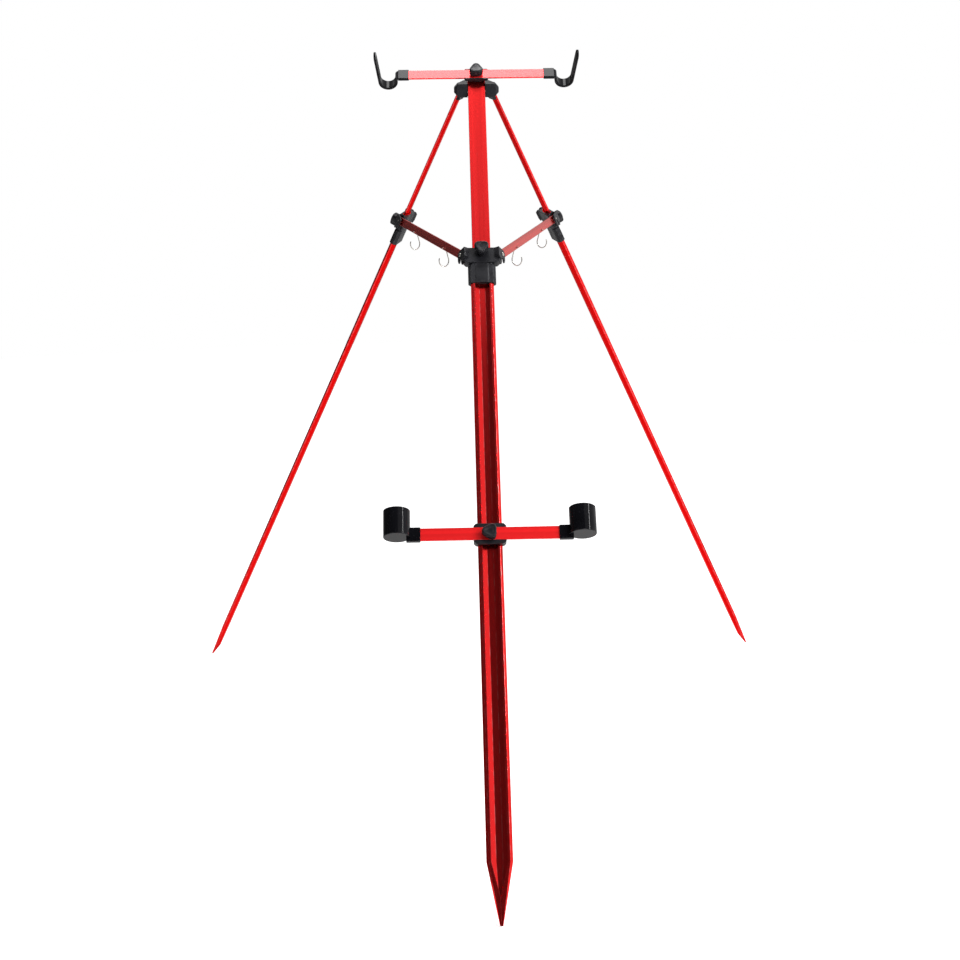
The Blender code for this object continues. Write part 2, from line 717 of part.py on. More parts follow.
def wire_hook():
    """Returns a question-mark hook of wire in the XZ plane, hung through a hole at the origin."""
    sag = -WIRE_SAG
    stretch = WIRE_LOOP_HALF_WIDTH / WIRE_LOOP_HALF_HEIGHT
    bend = arc((WIRE_BEND_START, sag - WIRE_RADIUS * 2), WIRE_RADIUS * 2, 90, 20, 4)
    path = [(-WIRE_STUB, sag + WIRE_RADIUS), (-WIRE_STUB * 0.6, sag)] + bend
    loop = arc((0.0, -WIRE_LOOP_DROP), WIRE_LOOP_HALF_HEIGHT, 25, -205, WIRE_ARC_STEPS)
    path += [(WIRE_LOOP_SHIFT + x * stretch, z) for x, z in loop]
    section = circle(WIRE_RADIUS, WIRE_SIDES)
    return sweep(path, [section] * len(path))


def rounded_strap(width, thickness):
    """Returns a strap's section as (across its thickness, across its width)."""
    edge = thickness * STRAP_EDGE
    return [(x, y) for x, y in chamfered(thickness / 2, -width / 2, width / 2, edge)]


def rod_hook(side, bar_height):
    """Returns a rod hook with its sleeve, for the side given, at a bar height above the leg's face."""
    bottom = bar_height + HOOK_SLEEVE_THICKNESS / 2 - HOOK_DEPTH + STRAP_THICKNESS / 2
    centre = (HOOK_CENTRE, bottom + HOOK_RADIUS)
    riser = HOOK_CENTRE - HOOK_RADIUS
    path = [(riser - HOOK_BEND * 2, bar_height)]
    path += arc((riser - HOOK_BEND, bar_height - HOOK_BEND), HOOK_BEND, 90, 0, 4)
    path += arc(centre, HOOK_RADIUS, 180, 360 - math.degrees(HOOK_LEAN), STRAP_ARC_STEPS)
    arm_start = path[-1]
    arm_length = (bottom - STRAP_THICKNESS / 2 + HOOK_ARM - arm_start[1]) / math.cos(HOOK_LEAN)
    round_end = STRAP_WIDTH / 2
    shares = [1.0] * len(path)
    path.append((arm_start[0] + math.sin(HOOK_LEAN) * (arm_length - round_end),
                 arm_start[1] + math.cos(HOOK_LEAN) * (arm_length - round_end)))
    shares.append(1.0)
    for turn in STRAP_TIP_TURNS:
        reach = arm_length - round_end + round_end * math.sin(math.radians(turn))
        path.append((arm_start[0] + math.sin(HOOK_LEAN) * reach, arm_start[1] + math.cos(HOOK_LEAN) * reach))
        shares.append(math.cos(math.radians(turn)))
    sections = [rounded_strap(STRAP_WIDTH * share, STRAP_THICKNESS * (STRAP_THIN + (1 - STRAP_THIN) * share))
                for share in shares]
    strap = sweep(path, sections)
    half = HOOK_SLEEVE_WIDTH / 2
    low = bar_height - HOOK_SLEEVE_THICKNESS / 2
    outline = chamfered(half, low, low + HOOK_SLEEVE_THICKNESS, SOCKET_EDGE)
    sleeve = prism(outline, TOP_SLEEVE_START, HOOK_SLEEVE_END, "X")
    across = BAR_WIDTH / 2 + SEAT_GAP
    deep = BAR_THICKNESS / 2 + SEAT_GAP
    pocket = box((TOP_SLEEVE_START - CUT_MARGIN, -across, bar_height - deep),
                 (TOP_BAR_HALF + SEAT_GAP, across, bar_height + deep))
    hook = combine(combine(sleeve, [strap], "UNION"), [pocket])
    return turned_out(hook, side)


def turned_out(mesh, side):
    """Returns a mesh drawn with its height along Z turned to stand out along -Y, mirrored for side -1."""
    stand = Matrix(((side, 0, 0, 0), (0, 0, -1, 0), (0, 1, 0, 0), (0, 0, 0, 1)))
    mesh.transform(stand)
    if stand.determinant() < 0:
        mesh.flip_normals()
    return mesh


def butt_cup(side, bar_height):
    """Returns a butt cup with its sleeve, its mouth up the leg."""
    axis = (CUP_CENTRE, -(bar_height + CUP_OFFSET))
    low = -CUP_DROP
    rim = low + CUP_HEIGHT
    body = [(CUP_RADIUS - CUP_FOOT_EDGE, low), (CUP_RADIUS, low + CUP_FOOT_EDGE),
            (CUP_RADIUS, rim - CUP_RIM_EDGE), (CUP_RADIUS - CUP_RIM_EDGE, rim)]
    solid = loft([[(x, y, level) for x, y in circle(radius, CUP_SIDES, axis)] for radius, level in body])
    half = CUP_SLEEVE_WIDTH / 2
    thick = CUP_SLEEVE_THICKNESS / 2
    outline = chamfered(half, -bar_height - thick, -bar_height + thick, SOCKET_EDGE)
    sleeve = prism([(b, a) for a, b in outline], LOW_SLEEVE_START, CUP_CENTRE - CUP_RADIUS * 0.7, "X")
    across = BAR_WIDTH / 2 + SEAT_GAP
    deep = BAR_THICKNESS / 2 + SEAT_GAP
    pocket = box((LOW_SLEEVE_START - CUT_MARGIN, -bar_height - deep, -across),
                 (LOW_BAR_HALF + SEAT_GAP, -bar_height + deep, across))
    bowl = prism(circle(CUP_RADIUS - CUP_WALL, CUP_SIDES, axis), low + CUP_FLOOR, rim + CUT_MARGIN)
    cup = combine(combine(solid, [sleeve], "UNION"), [pocket, bowl])
    if side < 0:
        cup.transform(Matrix.Scale(-1, 4, (1, 0, 0)))
        cup.flip_normals()
    return cup


def crossbar(half_length, bar_height):
    """Returns a flat crossbar along X with a hole for its stud."""
    low = -bar_height - BAR_THICKNESS / 2
    outline = [(y, z) for z, y in chamfered(BAR_WIDTH / 2, low, low + BAR_THICKNESS, BAR_CORNER)]
    bar = prism(outline, -half_length, half_length, "X")
    hole = prism(stud_ring(), -bar_height - CUT_MARGIN, -bar_height + CUT_MARGIN, "Y")
    return combine(bar, [hole])


def cradle(half_width, lip, lower_corner, back, bar_height):
    """Returns the seat of a crossbar, with a lip above and below the bar, from back to the bar's face."""
    half_height = BAR_WIDTH / 2 + SEAT_GAP + lip
    front = -bar_height - BAR_THICKNESS / 2
    corner = min(SADDLE_CORNER, lip * 0.8)
    face = mirrored([(half_width - lower_corner, -half_height), (half_width, lower_corner - half_height),
                     (half_width, half_height - corner), (half_width - corner, half_height)])
    block = prism(face, front, back, "Y")
    bar_slot = box((-half_width * 2, front - CUT_MARGIN, -BAR_WIDTH / 2 - SEAT_GAP),
                   (half_width * 2, -bar_height + BAR_THICKNESS / 2 + SEAT_GAP, BAR_WIDTH / 2 + SEAT_GAP))
    stud_hole = prism(stud_ring(), front - CUT_MARGIN, back + CUT_MARGIN, "Y")
    return combine(block, [bar_slot, stud_hole])


def carriage_saddle(bar_height):
    """Returns the lower crossbar's cradle, with cheeks that wrap round the sides of the lower leg."""
    seat = cradle(LOW_SADDLE_HALF, LOW_SADDLE_LIP, SADDLE_CORNER, SADDLE_WRAP, bar_height)
    channel = [(x, y - LIP_FRONT) for x, y in lower_outline(SLIDE_GAP)]
    return combine(seat, [prism(channel, -BAR_WIDTH * 2, BAR_WIDTH * 2)])


def wedge(front):
    """Returns the fixed block that tips the upper crossbar back, with its front square to the stud."""
    high = TOP_WEDGE_HALF_HEIGHT
    rise = math.tan(TOP_BAR_WEDGE) * high
    outline = [(front, -high), (front, high), (-SEAT_GAP - rise, high), (-SEAT_GAP + rise, -high)]
    block = prism(outline, -TOP_WEDGE_HALF_WIDTH, TOP_WEDGE_HALF_WIDTH, "X")
    return combine(block, [prism(stud_ring(), -CUT_MARGIN * 2, CUT_MARGIN, "Y")])


def stand_on_floor(hub_frame, legs):
    """Moves the tripod so that its lowest foot is on Z = 0 and its feet are centred front to back."""
    corners = [world_of(leg) @ vertex.co for leg in legs for vertex in leg.data.vertices]
    low = min(corner.z for corner in corners)
    middle = (min(corner.y for corner in corners) + max(corner.y for corner in corners)) / 2
    hub_frame.matrix_local = Matrix.Translation((0, -middle, -low)) @ hub_frame.matrix_local


def fork_normals(front_leg, rear_leg, front_drop, rear_drop, side):
    """Returns the stretcher's pins and plate normal in the hub's frame, for a rear leg on the side given."""
    front_pin = front_leg @ Vector((side * FORK_X, FORK_Y, -front_drop))
    rear_pin = rear_leg @ Vector((-side * FORK_X, FORK_Y, -rear_drop))
    down = front_leg.to_3x3() @ Vector((0, 0, -1))
    normal = (rear_pin - front_pin).cross(down).normalized()
    return front_pin, rear_pin, normal


def build():
    """Builds the whole tripod."""
    clear_scene()
    red = finish("red_anodised", (0.62, 0.020, 0.022), 0.30, 0.85)
    black = finish("black_moulded", (0.012, 0.012, 0.014), 0.50, 0.0)
    gloss = finish("black_gloss", (0.006, 0.006, 0.007), 0.16, 0.0)
    steel = finish("bright_steel", (0.62, 0.61, 0.58), 0.22, 1.0)
    nylon = finish("nylon", (0.05, 0.05, 0.05), 0.55, 0.0)

    azimuths = {"front": 0.0, "left": -(math.pi / 2 + REAR_SWEEP), "right": math.pi / 2 + REAR_SWEEP}
    frames = {}
    for name, azimuth in azimuths.items():
        frames[name] = leg_matrix(azimuth, REAR_PIVOT_RADIUS, REAR_TILT)
    frames["front"] = leg_matrix(azimuths["front"], FRONT_PIVOT_RADIUS, FRONT_TILT)
    tip = LIP_FRONT + TIP_DEPTH
    front_tip = frames["front"] @ Vector((0, tip, -FRONT_LENGTH))
    rear_tip = frames["left"] @ Vector((0, tip, -REAR_LENGTH))
    lean = math.atan2(front_tip.z - rear_tip.z, rear_tip.y - front_tip.y)
    lean_turn = Matrix.Rotation(lean, 4, "X")
    hub_frame = anchor("hub_frame", None, lean_turn)

    hub_legs = [(azimuths["front"], FRONT_PIVOT_RADIUS, FRONT_PIN_HALF, HUB_TOP + CUT_MARGIN)]
    for name in ("left", "right"):
        hub_legs.append((azimuths[name], REAR_PIVOT_RADIUS, REAR_PIN_HALF, HUB_TOP - DECK))
    place("hub_body", hub_body(hub_legs), black, hub_frame)

    tops = {"front": FRONT_TOP, "left": REAR_TOP, "right": REAR_TOP}
    fork_drops = {name: tops[name] + FORK_DROP for name in tops}
    spans = {}
    for name, side in (("left", -1), ("right", 1)):
        drops = (fork_drops["front"], fork_drops[name])
        spans[name] = fork_normals(frames["front"], frames[name], *drops, side)

    to_front = frames["front"].to_3x3().inverted()
    top_frame = Matrix.Translation((0, UPPER_FRONT, TOP_BAR_RISE)) @ Matrix.Rotation(-TOP_BAR_WEDGE, 4, "X")
    for name, frame in frames.items():
        top = tops[name]
        axis = anchor(name + "_leg_axis", hub_frame, frame)
        head = FRONT_HEAD if name == "front" else REAR_HEAD
        pin_half = FRONT_PIN_HALF if name == "front" else REAR_PIN_HALF
        tube = upper_leg(head, top + OVERLAP)
        if name == "front":
            hole = prism(stud_ring(), -CUT_MARGIN * 2, CUT_MARGIN, "Y")
            tube = combine(tube, [moved(hole, top_frame)])
        place(name + "_upper_leg", tube, red, axis)
        place(name + "_leg_hinge", leg_hinge(HINGE_HEAD), black, axis)
        place(name + "_leg_pin", round_pin(LEG_PIN_RADIUS, pin_half), steel, hub_frame,
              frame @ Matrix.Rotation(FRONT_TILT if name == "front" else REAR_TILT, 4, "X"))
        place(name + "_slide_shoe", slide_shoe(), nylon, axis, Matrix.Translation((0, 0, -(top + OVERLAP))))
        slide = anchor(name + "_slide_axis", axis, Matrix.Translation((0, 0, -top)))
        place(name + "_lower_leg", lower_leg(), red, slide)

        seat = Matrix.Translation((0, 0, -top))
        if name == "front":
            forks = [(side, to_front @ spans[rear][2], FRONT_FORK_PLAY, FRONT_FORK_WEB, True)
                     for rear, side in (("left", -1), ("right", 1))]
        else:
            side = 1 if name == "left" else -1
            normal = frame.to_3x3().inverted() @ spans[name][2]
            flat = Vector((normal.x, normal.y, 0))
            other = Vector((-normal.x, normal.y, 0))
            forks = [(side, flat, REAR_FORK_PLAY, REAR_FORK_WEB, False),
                     (-side, other, REAR_FORK_PLAY, REAR_FORK_WEB, False)]
        stud_drop = CLAMP_STUD_DROP if name == "front" else REAR_STUD_DROP
        sleeve_height = SLEEVE_HEIGHT if name == "front" else REAR_SLEEVE_HEIGHT
        place(name + "_leg_clamp", leg_clamp(forks, stud_drop), black, axis, seat)
        place(name + "_leg_sleeve", leg_sleeve(sleeve_height), black, axis,
              seat @ Matrix.Translation((0, 0, -CLAMP_HEIGHT - SEAT_GAP)))
        boss_top = -(CLAMP_FRONT + BOSS_HEIGHT)
        knob_axis = anchor(name + "_knob_axis", axis, seat @ Matrix.Translation((0, boss_top, -stud_drop)))
        place(name + "_clamp_knob", knob(-math.pi / 2), black, knob_axis)
        place(name + "_clamp_stud", stud(UPPER_FRONT - SEAT_GAP - boss_top), steel, knob_axis)

    for name, side in (("left", -1), ("right", 1)):
        front_pin, rear_pin, normal = spans[name]
        along = (rear_pin - front_pin).normalized()
        across = normal.cross(along).normalized()
        frame = Matrix((along, across, normal)).transposed().to_4x4()
        swing = anchor(name + "_stretcher_axis", hub_frame, Matrix.Translation(front_pin) @ frame)
        length = (rear_pin - front_pin).length
        place(name + "_stretcher", stretcher(length), red, swing)
        slot_half = STRETCHER_THICKNESS / 2 + FRONT_FORK_PLAY
        front_pin_mesh = headed_pin(slot_half + PIN_SEAT, slot_half + FORK_PLATE, -side)
        place(name + "_stretcher_pin", front_pin_mesh, steel, swing)
        catch_half = STRETCHER_THICKNESS / 2 + REAR_FORK_PLAY + FORK_PLATE
        catch = prism(circle(STRETCHER_PIN_RADIUS, PIN_SIDES), -catch_half, catch_half)
        place(name + "_stretcher_catch", catch, steel, swing, Matrix.Translation((length, 0, 0)))
        world = world_of(swing)
        level = world.to_3x3() @ Vector((0, 0, 1))
        level = Vector((level.x, level.y, 0)).normalized()
        if level.x * side > 0:
            level = -level
        up = Vector((0, 0, 1))
        for order, share in zip(("front", "rear"), HOOK_PLACES):
            turn = Matrix((level, up.cross(level), up)).transposed().to_4x4()
            hole = world @ Vector((length * share, HOOK_HOLE_DROP, 0))
            hung = world.inverted() @ Matrix.Translation(hole) @ turn
            hang = anchor(name + "_" + order + "_hook_axis", swing, hung)
            place(name + "_" + order + "_wire_hook", wire_hook(), steel, hang)

    axis = bpy.data.objects["front_leg_axis"]
    wedge_front = SEAT_GAP + math.tan(TOP_BAR_WEDGE) * TOP_WEDGE_HALF_HEIGHT + TOP_WEDGE_THIN
    top_height = wedge_front + SADDLE_FLOOR + BAR_THICKNESS / 2 + SEAT_GAP * 2
    top_axis = anchor("top_bar_axis", axis, top_frame)
    place("top_wedge", wedge(-wedge_front), black, top_axis)
    top_back = -wedge_front - SEAT_GAP
    top_seat = cradle(TOP_SADDLE_HALF, TOP_SADDLE_LIP, TOP_SADDLE_LIP, top_back, top_height)
    place("top_saddle", top_seat, black, top_axis)
    place("top_crossbar", crossbar(TOP_BAR_HALF, top_height), red, top_axis)
    place("left_rod_hook", rod_hook(-1, top_height), gloss, top_axis)
    place("right_rod_hook", rod_hook(1, top_height), gloss, top_axis)
    knob_seat = -(top_height + BAR_THICKNESS / 2)
    knob_axis = anchor("top_knob_axis", top_axis, Matrix.Translation((0, knob_seat, 0)))
    place("top_knob", knob(math.pi / 2), black, knob_axis)
    stud_end = (UPPER_DEPTH + NUT_HEIGHT + SEAT_GAP * 2) / math.cos(TOP_BAR_WEDGE)
    place("top_stud", stud(stud_end - knob_seat), steel, top_axis, Matrix.Translation((0, knob_seat, 0)))
    nut = prism(circle(NUT_RADIUS, 6), 0.0, NUT_HEIGHT, "Y")
    nut = combine(nut, [prism(stud_ring(), -CUT_MARGIN, CUT_MARGIN, "Y")])
    nut_seat = UPPER_DEPTH + SEAT_GAP * 2 + NUT_RADIUS * math.tan(TOP_BAR_WEDGE)
    place("top_nut", nut, steel, top_axis, Matrix.Translation((0, nut_seat, 0)))

    slide = bpy.data.objects["front_slide_axis"]
    low_z = -(LOW_BAR_DROP - FRONT_TOP)
    carriage = anchor("low_carriage_axis", slide, Matrix.Translation((0, LIP_FRONT, low_z)))
    low_height = SLIDE_GAP + SADDLE_FLOOR + BAR_THICKNESS / 2 + SEAT_GAP
    nut_low = LOWER_WALL + SEAT_GAP
    nut_outline = chamfered(SLIDE_NUT_HALF, nut_low, nut_low + SLIDE_NUT_DEPTH, SLIDE_NUT_EDGE)
    slide_nut = prism(nut_outline, -SLIDE_NUT_LENGTH / 2, SLIDE_NUT_LENGTH / 2)
    slide_nut = combine(slide_nut, [prism(stud_ring(), -CUT_MARGIN, CUT_MARGIN * 2, "Y")])
    place("low_slide_nut", slide_nut, steel, carriage)
    place("low_saddle", carriage_saddle(low_height), black, carriage)
    place("low_crossbar", crossbar(LOW_BAR_HALF, low_height), red, carriage)
    place("left_butt_cup", butt_cup(-1, low_height), gloss, carriage)
    place("right_butt_cup", butt_cup(1, low_height), gloss, carriage)
    knob_seat = -(low_height + BAR_THICKNESS / 2)
    knob_axis = anchor("low_knob_axis", carriage, Matrix.Translation((0, knob_seat, 0)))
    place("low_knob", knob(math.pi), black, knob_axis)
    low_end = nut_low + SLIDE_NUT_DEPTH
    place("low_stud", stud(low_end - knob_seat), steel, carriage, Matrix.Translation((0, knob_seat, 0)))
    stand_on_floor(hub_frame, [bpy.data.objects[name + "_lower_leg"] for name in frames])
    bpy.context.view_layer.update()


build()
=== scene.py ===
"""Looks of the surf rod tripod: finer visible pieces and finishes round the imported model.

Every length is in metres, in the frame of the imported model: the feet stand on Z = 0 and the front leg
points to -Y. A leg's own frame has its origin on the hinge pin, +Z up the leg, +X across it and -Y out of
its open face.
"""

import json
import logging
import math
from dataclasses import dataclass, field
from enum import Enum
from typing import ClassVar

import bmesh
import bpy
from bpy.types import ID, Curve, Material, Mesh, Node, NodeSocket, NodeTree, Object
from mathutils import Matrix, Vector


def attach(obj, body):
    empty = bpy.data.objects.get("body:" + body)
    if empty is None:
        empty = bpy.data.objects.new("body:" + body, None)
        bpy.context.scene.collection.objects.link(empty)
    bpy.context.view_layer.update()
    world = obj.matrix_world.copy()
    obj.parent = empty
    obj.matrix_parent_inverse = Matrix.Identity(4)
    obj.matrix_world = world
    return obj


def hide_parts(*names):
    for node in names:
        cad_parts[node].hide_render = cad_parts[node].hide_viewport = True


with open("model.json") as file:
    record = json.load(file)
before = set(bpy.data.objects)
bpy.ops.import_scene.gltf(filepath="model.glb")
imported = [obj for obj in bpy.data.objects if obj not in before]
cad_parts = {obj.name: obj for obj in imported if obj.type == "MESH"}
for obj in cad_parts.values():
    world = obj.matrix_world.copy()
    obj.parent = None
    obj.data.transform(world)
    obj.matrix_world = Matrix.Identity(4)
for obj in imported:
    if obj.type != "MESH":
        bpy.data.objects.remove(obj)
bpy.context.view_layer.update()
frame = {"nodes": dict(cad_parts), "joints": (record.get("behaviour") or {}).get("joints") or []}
LOG = logging.getLogger("tripod")
Point = tuple[float, float]
Triple = tuple[float, float, float]
Outline = list[Point]
Ring = list[Triple]
SEAT_GAP = 0.0003
SLIDE_GAP = 0.0004
CUT_MARGIN = 0.010
FRONT_LENGTH = 1.500
REAR_LENGTH = 1.418
LOWER_LENGTH = 1.150
SIDES = {"left": -1, "right": 1}
UP = Vector((0.0, 0.0, 1.0))
ACROSS = Vector((1.0, 0.0, 0.0))
PATTERN_MIDDLE: Point = (0.3, 0.7)
PATCH_SCALE, PATCH_DETAIL, PATCH_SPAN = 130.0, 4.0, (0.42, 0.62)
SCRATCH_SCALE, SCRATCH_DETAIL, SCRATCH_SPAN, SCRATCH_STRETCH = 420.0, 1.0, (0.70, 0.74), 0.12
LINE_STRETCH = 0.004
DRAWN_LAYERS = {"Lines": (1.0, 2.0), "Bands": (0.16, 2.0)}
MOULDED_LAYERS = {"Grain": (1.0, 3.0), "Cloud": (0.03, 2.0)}
ROUND_RIM: tuple[Point, ...] = ((0.0, 1.0), (0.3, 0.3), (1.0, 0.0))
SQUARE_RIM: tuple[Point, ...] = ((0.0, 0.0),)


class Slot(Enum):
    """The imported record's material slots."""

    RED = "red_anodised"
    MOULDED = "black_moulded"
    GLOSS = "black_gloss"
    STEEL = "bright_steel"
    NYLON = "nylon"


class Wear(Enum):
    """How much a finish has been handled, as a share of bare patches on its edges."""

    NONE = 0.0
    LIGHT = 0.25


# ---- Shader nodes and groups


def add_node(tree: NodeTree, kind: str, inputs: dict[object, object] | None = None,
             **settings: object) -> Node:
    """Adds a node to a tree.

    Args:
        tree: the tree to add to.
        kind: the node's type.
        inputs: a value, or a socket to link, by the input's name or number.
        settings: values of the node's own properties.

    Returns:
        The node.
    """
    node = tree.nodes.new(kind)
    for label, value in settings.items():
        setattr(node, label, value)
    for label, value in (inputs or {}).items():
        if isinstance(value, NodeSocket):
            tree.links.new(value, node.inputs[label])
        else:
            node.inputs[label].default_value = value
    return node


def calc(tree: NodeTree, operation: str, first: object, second: object) -> NodeSocket:
    """Returns the result of a math node on two sockets or numbers."""
    return add_node(tree, "ShaderNodeMath", {0: first, 1: second}, operation=operation).outputs[0]


def ranged(tree: NodeTree, value: NodeSocket, span: Point, result: Point = (0.0, 1.0)) -> NodeSocket:
    """Returns a value that is held to a span and mapped to a result."""
    ends = {"From Min": span[0], "From Max": span[1], "To Min": result[0], "To Max": result[1]}
    return add_node(tree, "ShaderNodeMapRange", ends | {"Value": value}).outputs["Result"]


def blend(tree: NodeTree, mask: NodeSocket, low: object, high: object) -> NodeSocket:
    """Returns the colour that a mask picks between two colours or sockets."""
    inputs = {"Factor": mask, "A": low, "B": high}
    return add_node(tree, "ShaderNodeMix", inputs, data_type="RGBA").outputs["Result"]


def noise(tree: NodeTree, place: NodeSocket, scale: object, detail: float) -> NodeSocket:
    """Returns the value of a noise texture, with its scale as a number or a socket."""
    inputs = {"Vector": place, "Scale": scale, "Detail": detail}
    return add_node(tree, "ShaderNodeTexNoise", inputs).outputs["Fac"]


def stretched(tree: NodeTree, place: NodeSocket, along: float) -> NodeSocket:
    """Returns coordinates whose Z runs at a share of its rate, which draws a pattern out."""
    inputs = {0: place, 1: (1.0, 1.0, along)}
    return add_node(tree, "ShaderNodeVectorMath", inputs, operation="MULTIPLY").outputs[0]


def new_group(name: str, inputs: dict[str, object], outputs: list[str]) -> tuple[NodeTree, Node, Node]:
    """Makes an empty shader group.

    Args:
        name: the group's name.
        inputs: default value by input name, a number or a vector.
        outputs: names of the value outputs.

    Returns:
        The tree, its input node and its output node.
    """
    tree = bpy.data.node_groups.new(name, "ShaderNodeTree")
    for label, value in inputs.items():
        kind = "NodeSocketFloat" if isinstance(value, float) else "NodeSocketVector"
        tree.interface.new_socket(label, in_out="INPUT", socket_type=kind).default_value = value
    for label in outputs:
        tree.interface.new_socket(label, in_out="OUTPUT", socket_type="NodeSocketFloat")
    return tree, tree.nodes.new("NodeGroupInput"), tree.nodes.new("NodeGroupOutput")


def pattern_group(name: str, stretch: float, layers: dict[str, Point]) -> NodeTree:
    """Makes a group of noises over the same coordinates.

    Args:
        name: the group's name.
        stretch: the rate at which the pattern runs along Z.
        layers: the share of the scale and the detail of each output.

    Returns:
        The group.
    """
    tree, entry, leave = new_group(name, {"Place": (0.0, 0.0, 0.0), "Scale": 1000.0}, list(layers))
    place = stretched(tree, entry.outputs["Place"], stretch)
    for label, (share, detail) in layers.items():
        scale = calc(tree, "MULTIPLY", entry.outputs["Scale"], share)
        tree.links.new(noise(tree, place, scale, detail), leave.inputs[label])
    return tree


def wear_group() -> NodeTree:
    """Returns the group that breaks an edge mask up into worn patches and adds fine scratches."""
    inputs = {"Place": (0.0, 0.0, 0.0), "Edge": 0.0, "Amount": 0.4}
    tree, entry, leave = new_group("edge_wear", inputs, ["Worn", "Scratch"])
    place, edge, amount = (entry.outputs[label] for label in inputs)
    patches = ranged(tree, noise(tree, place, PATCH_SCALE, PATCH_DETAIL), PATCH_SPAN)
    worn = calc(tree, "MULTIPLY", calc(tree, "MULTIPLY", patches, edge), amount)
    drawn_out = stretched(tree, place, SCRATCH_STRETCH)
    hairs = ranged(tree, noise(tree, drawn_out, SCRATCH_SCALE, SCRATCH_DETAIL), SCRATCH_SPAN)
    tree.links.new(worn, leave.inputs["Worn"])
    tree.links.new(calc(tree, "MULTIPLY", hairs, amount), leave.inputs["Scratch"])
    return tree


# ---- Finishes


@dataclass(frozen=True)
class Finish:
    """A finish: plain numbers, a pattern that changes them a little, and wear that bares it.

    The tones are shares of the colour where the pattern is darkest and palest. The dulling is what the
    pattern adds to the roughness at both ends of its span. Scratch is how strongly scratches bare it, and
    depth and relief are the distance and strength of its bump.
    """

    name: str
    colour: Triple
    roughness: float
    metallic: float
    slot: Slot
    wear: Wear = Wear.LIGHT
    bare: Triple = (0.10, 0.10, 0.105)
    scale: float = 2600.0
    depth: float = 0.00008
    relief: float = 0.3
    tones: Point = (0.75, 1.35)
    span: Point = (0.35, 0.65)
    dulling: Point = (-0.03, 0.03)
    scratch: float = 0.4
    PATTERN: ClassVar[str] = "grain"
    FINE: ClassVar[str] = "Grain"
    SLOW: ClassVar[str] = "Cloud"
    DULLED_BY: ClassVar[str] = "Cloud"
    ALONG_PROFILE: ClassVar[bool] = False
    EDGES_ONLY: ClassVar[bool] = True

    def plain(self) -> dict[str, object]:
        """Returns the values that are the same all over, by the shader's socket."""
        return {"Base Color": (*self.colour, 1.0), "Roughness": self.roughness, "Metallic": self.metallic}

    def material(self, groups: dict[str, NodeTree]) -> Material:
        """Makes the material.

        Args:
            groups: the shared shader groups by name.

        Returns:
            The material.
        """
        material = bpy.data.materials.new(self.name)
        material.use_nodes = True
        material.diffuse_color = (*self.colour, 1.0)
        tree = material.node_tree
        shader = tree.nodes["Principled BSDF"]
        for label, value in self.plain().items():
            shader.inputs[label].default_value = value
        edge = 1.0
        if self.EDGES_ONLY:
            edge = add_node(tree, "ShaderNodeAttribute", attribute_name="edge").outputs["Fac"]
        if self.ALONG_PROFILE:
            place = add_node(tree, "ShaderNodeAttribute", attribute_name="lay").outputs["Vector"]
        else:
            place = add_node(tree, "ShaderNodeTexCoord").outputs["Object"]
        pattern = add_node(tree, "ShaderNodeGroup", {"Place": place, "Scale": self.scale},
                           node_tree=groups[self.PATTERN]).outputs
        worn = add_node(tree, "ShaderNodeGroup", {"Place": place, "Edge": edge, "Amount": self.wear.value},
                        node_tree=groups["wear"]).outputs
        ends = [(*(min(1.0, part * tone) for part in self.colour), 1.0) for tone in self.tones]
        skin = blend(tree, ranged(tree, pattern[self.SLOW], PATTERN_MIDDLE), *ends)
        bared = calc(tree, "MAXIMUM", worn["Worn"], calc(tree, "MULTIPLY", worn["Scratch"], self.scratch))
        rough = tuple(self.roughness + change for change in self.dulling)
        bump = {"Distance": self.depth, "Strength": self.relief, "Height": pattern[self.FINE]}
        for label, socket in (("Base Color", blend(tree, bared, skin, (*self.bare, 1.0))),
                              ("Roughness", ranged(tree, pattern[self.DULLED_BY], self.span, rough)),
                              ("Normal", add_node(tree, "ShaderNodeBump", bump).outputs["Normal"])):
            tree.links.new(socket, shader.inputs[label])
        return material


@dataclass(frozen=True)
class Anodised(Finish):
    """Drawn aluminium with a coloured anodic film: lines along the profile and bare worn edges."""

    bare: Triple = (0.80, 0.42, 0.42)
    scale: float = 900.0
    depth: float = 0.00004
    relief: float = 0.12
    tones: Point = (0.79, 1.07)
    span: Point = (0.25, 0.75)
    dulling: Point = (-0.05, 0.06)
    scratch: float = 0.12
    rim: Triple = (1.0, 0.30, 0.30)
    coat: float = 0.0
    coat_roughness: float = 0.20
    PATTERN: ClassVar[str] = "drawn"
    FINE: ClassVar[str] = "Lines"
    SLOW: ClassVar[str] = "Bands"
    DULLED_BY: ClassVar[str] = "Lines"
    ALONG_PROFILE: ClassVar[bool] = True

    def plain(self) -> dict[str, object]:
        """Adds the film's tinted rim and its clear coat."""
        return super().plain() | {"Specular Tint": (*self.rim, 1.0), "Coat Weight": self.coat,
                                  "Coat Roughness": self.coat_roughness}


@dataclass(frozen=True)
class Moulded(Finish):
    """Moulded plastic with a fine spark texture, clouding and pale rubbed edges."""

    shine: float = 0.5

    def plain(self) -> dict[str, object]:
        """Adds how strongly the plastic mirrors."""
        return super().plain() | {"Specular IOR Level": self.shine}


@dataclass(frozen=True)
class Plated(Finish):
    """Bright plated steel with fine rubbing marks and a little dullness."""

    bare: Triple = (0.42, 0.39, 0.34)
    scale: float = 1800.0
    depth: float = 0.00003
    relief: float = 0.25
    tones: Point = (1.0, 1.0)
    span: Point = PATTERN_MIDDLE
    dulling: Point = (-0.06, 0.10)
    scratch: float = 0.0
    EDGES_ONLY: ClassVar[bool] = False


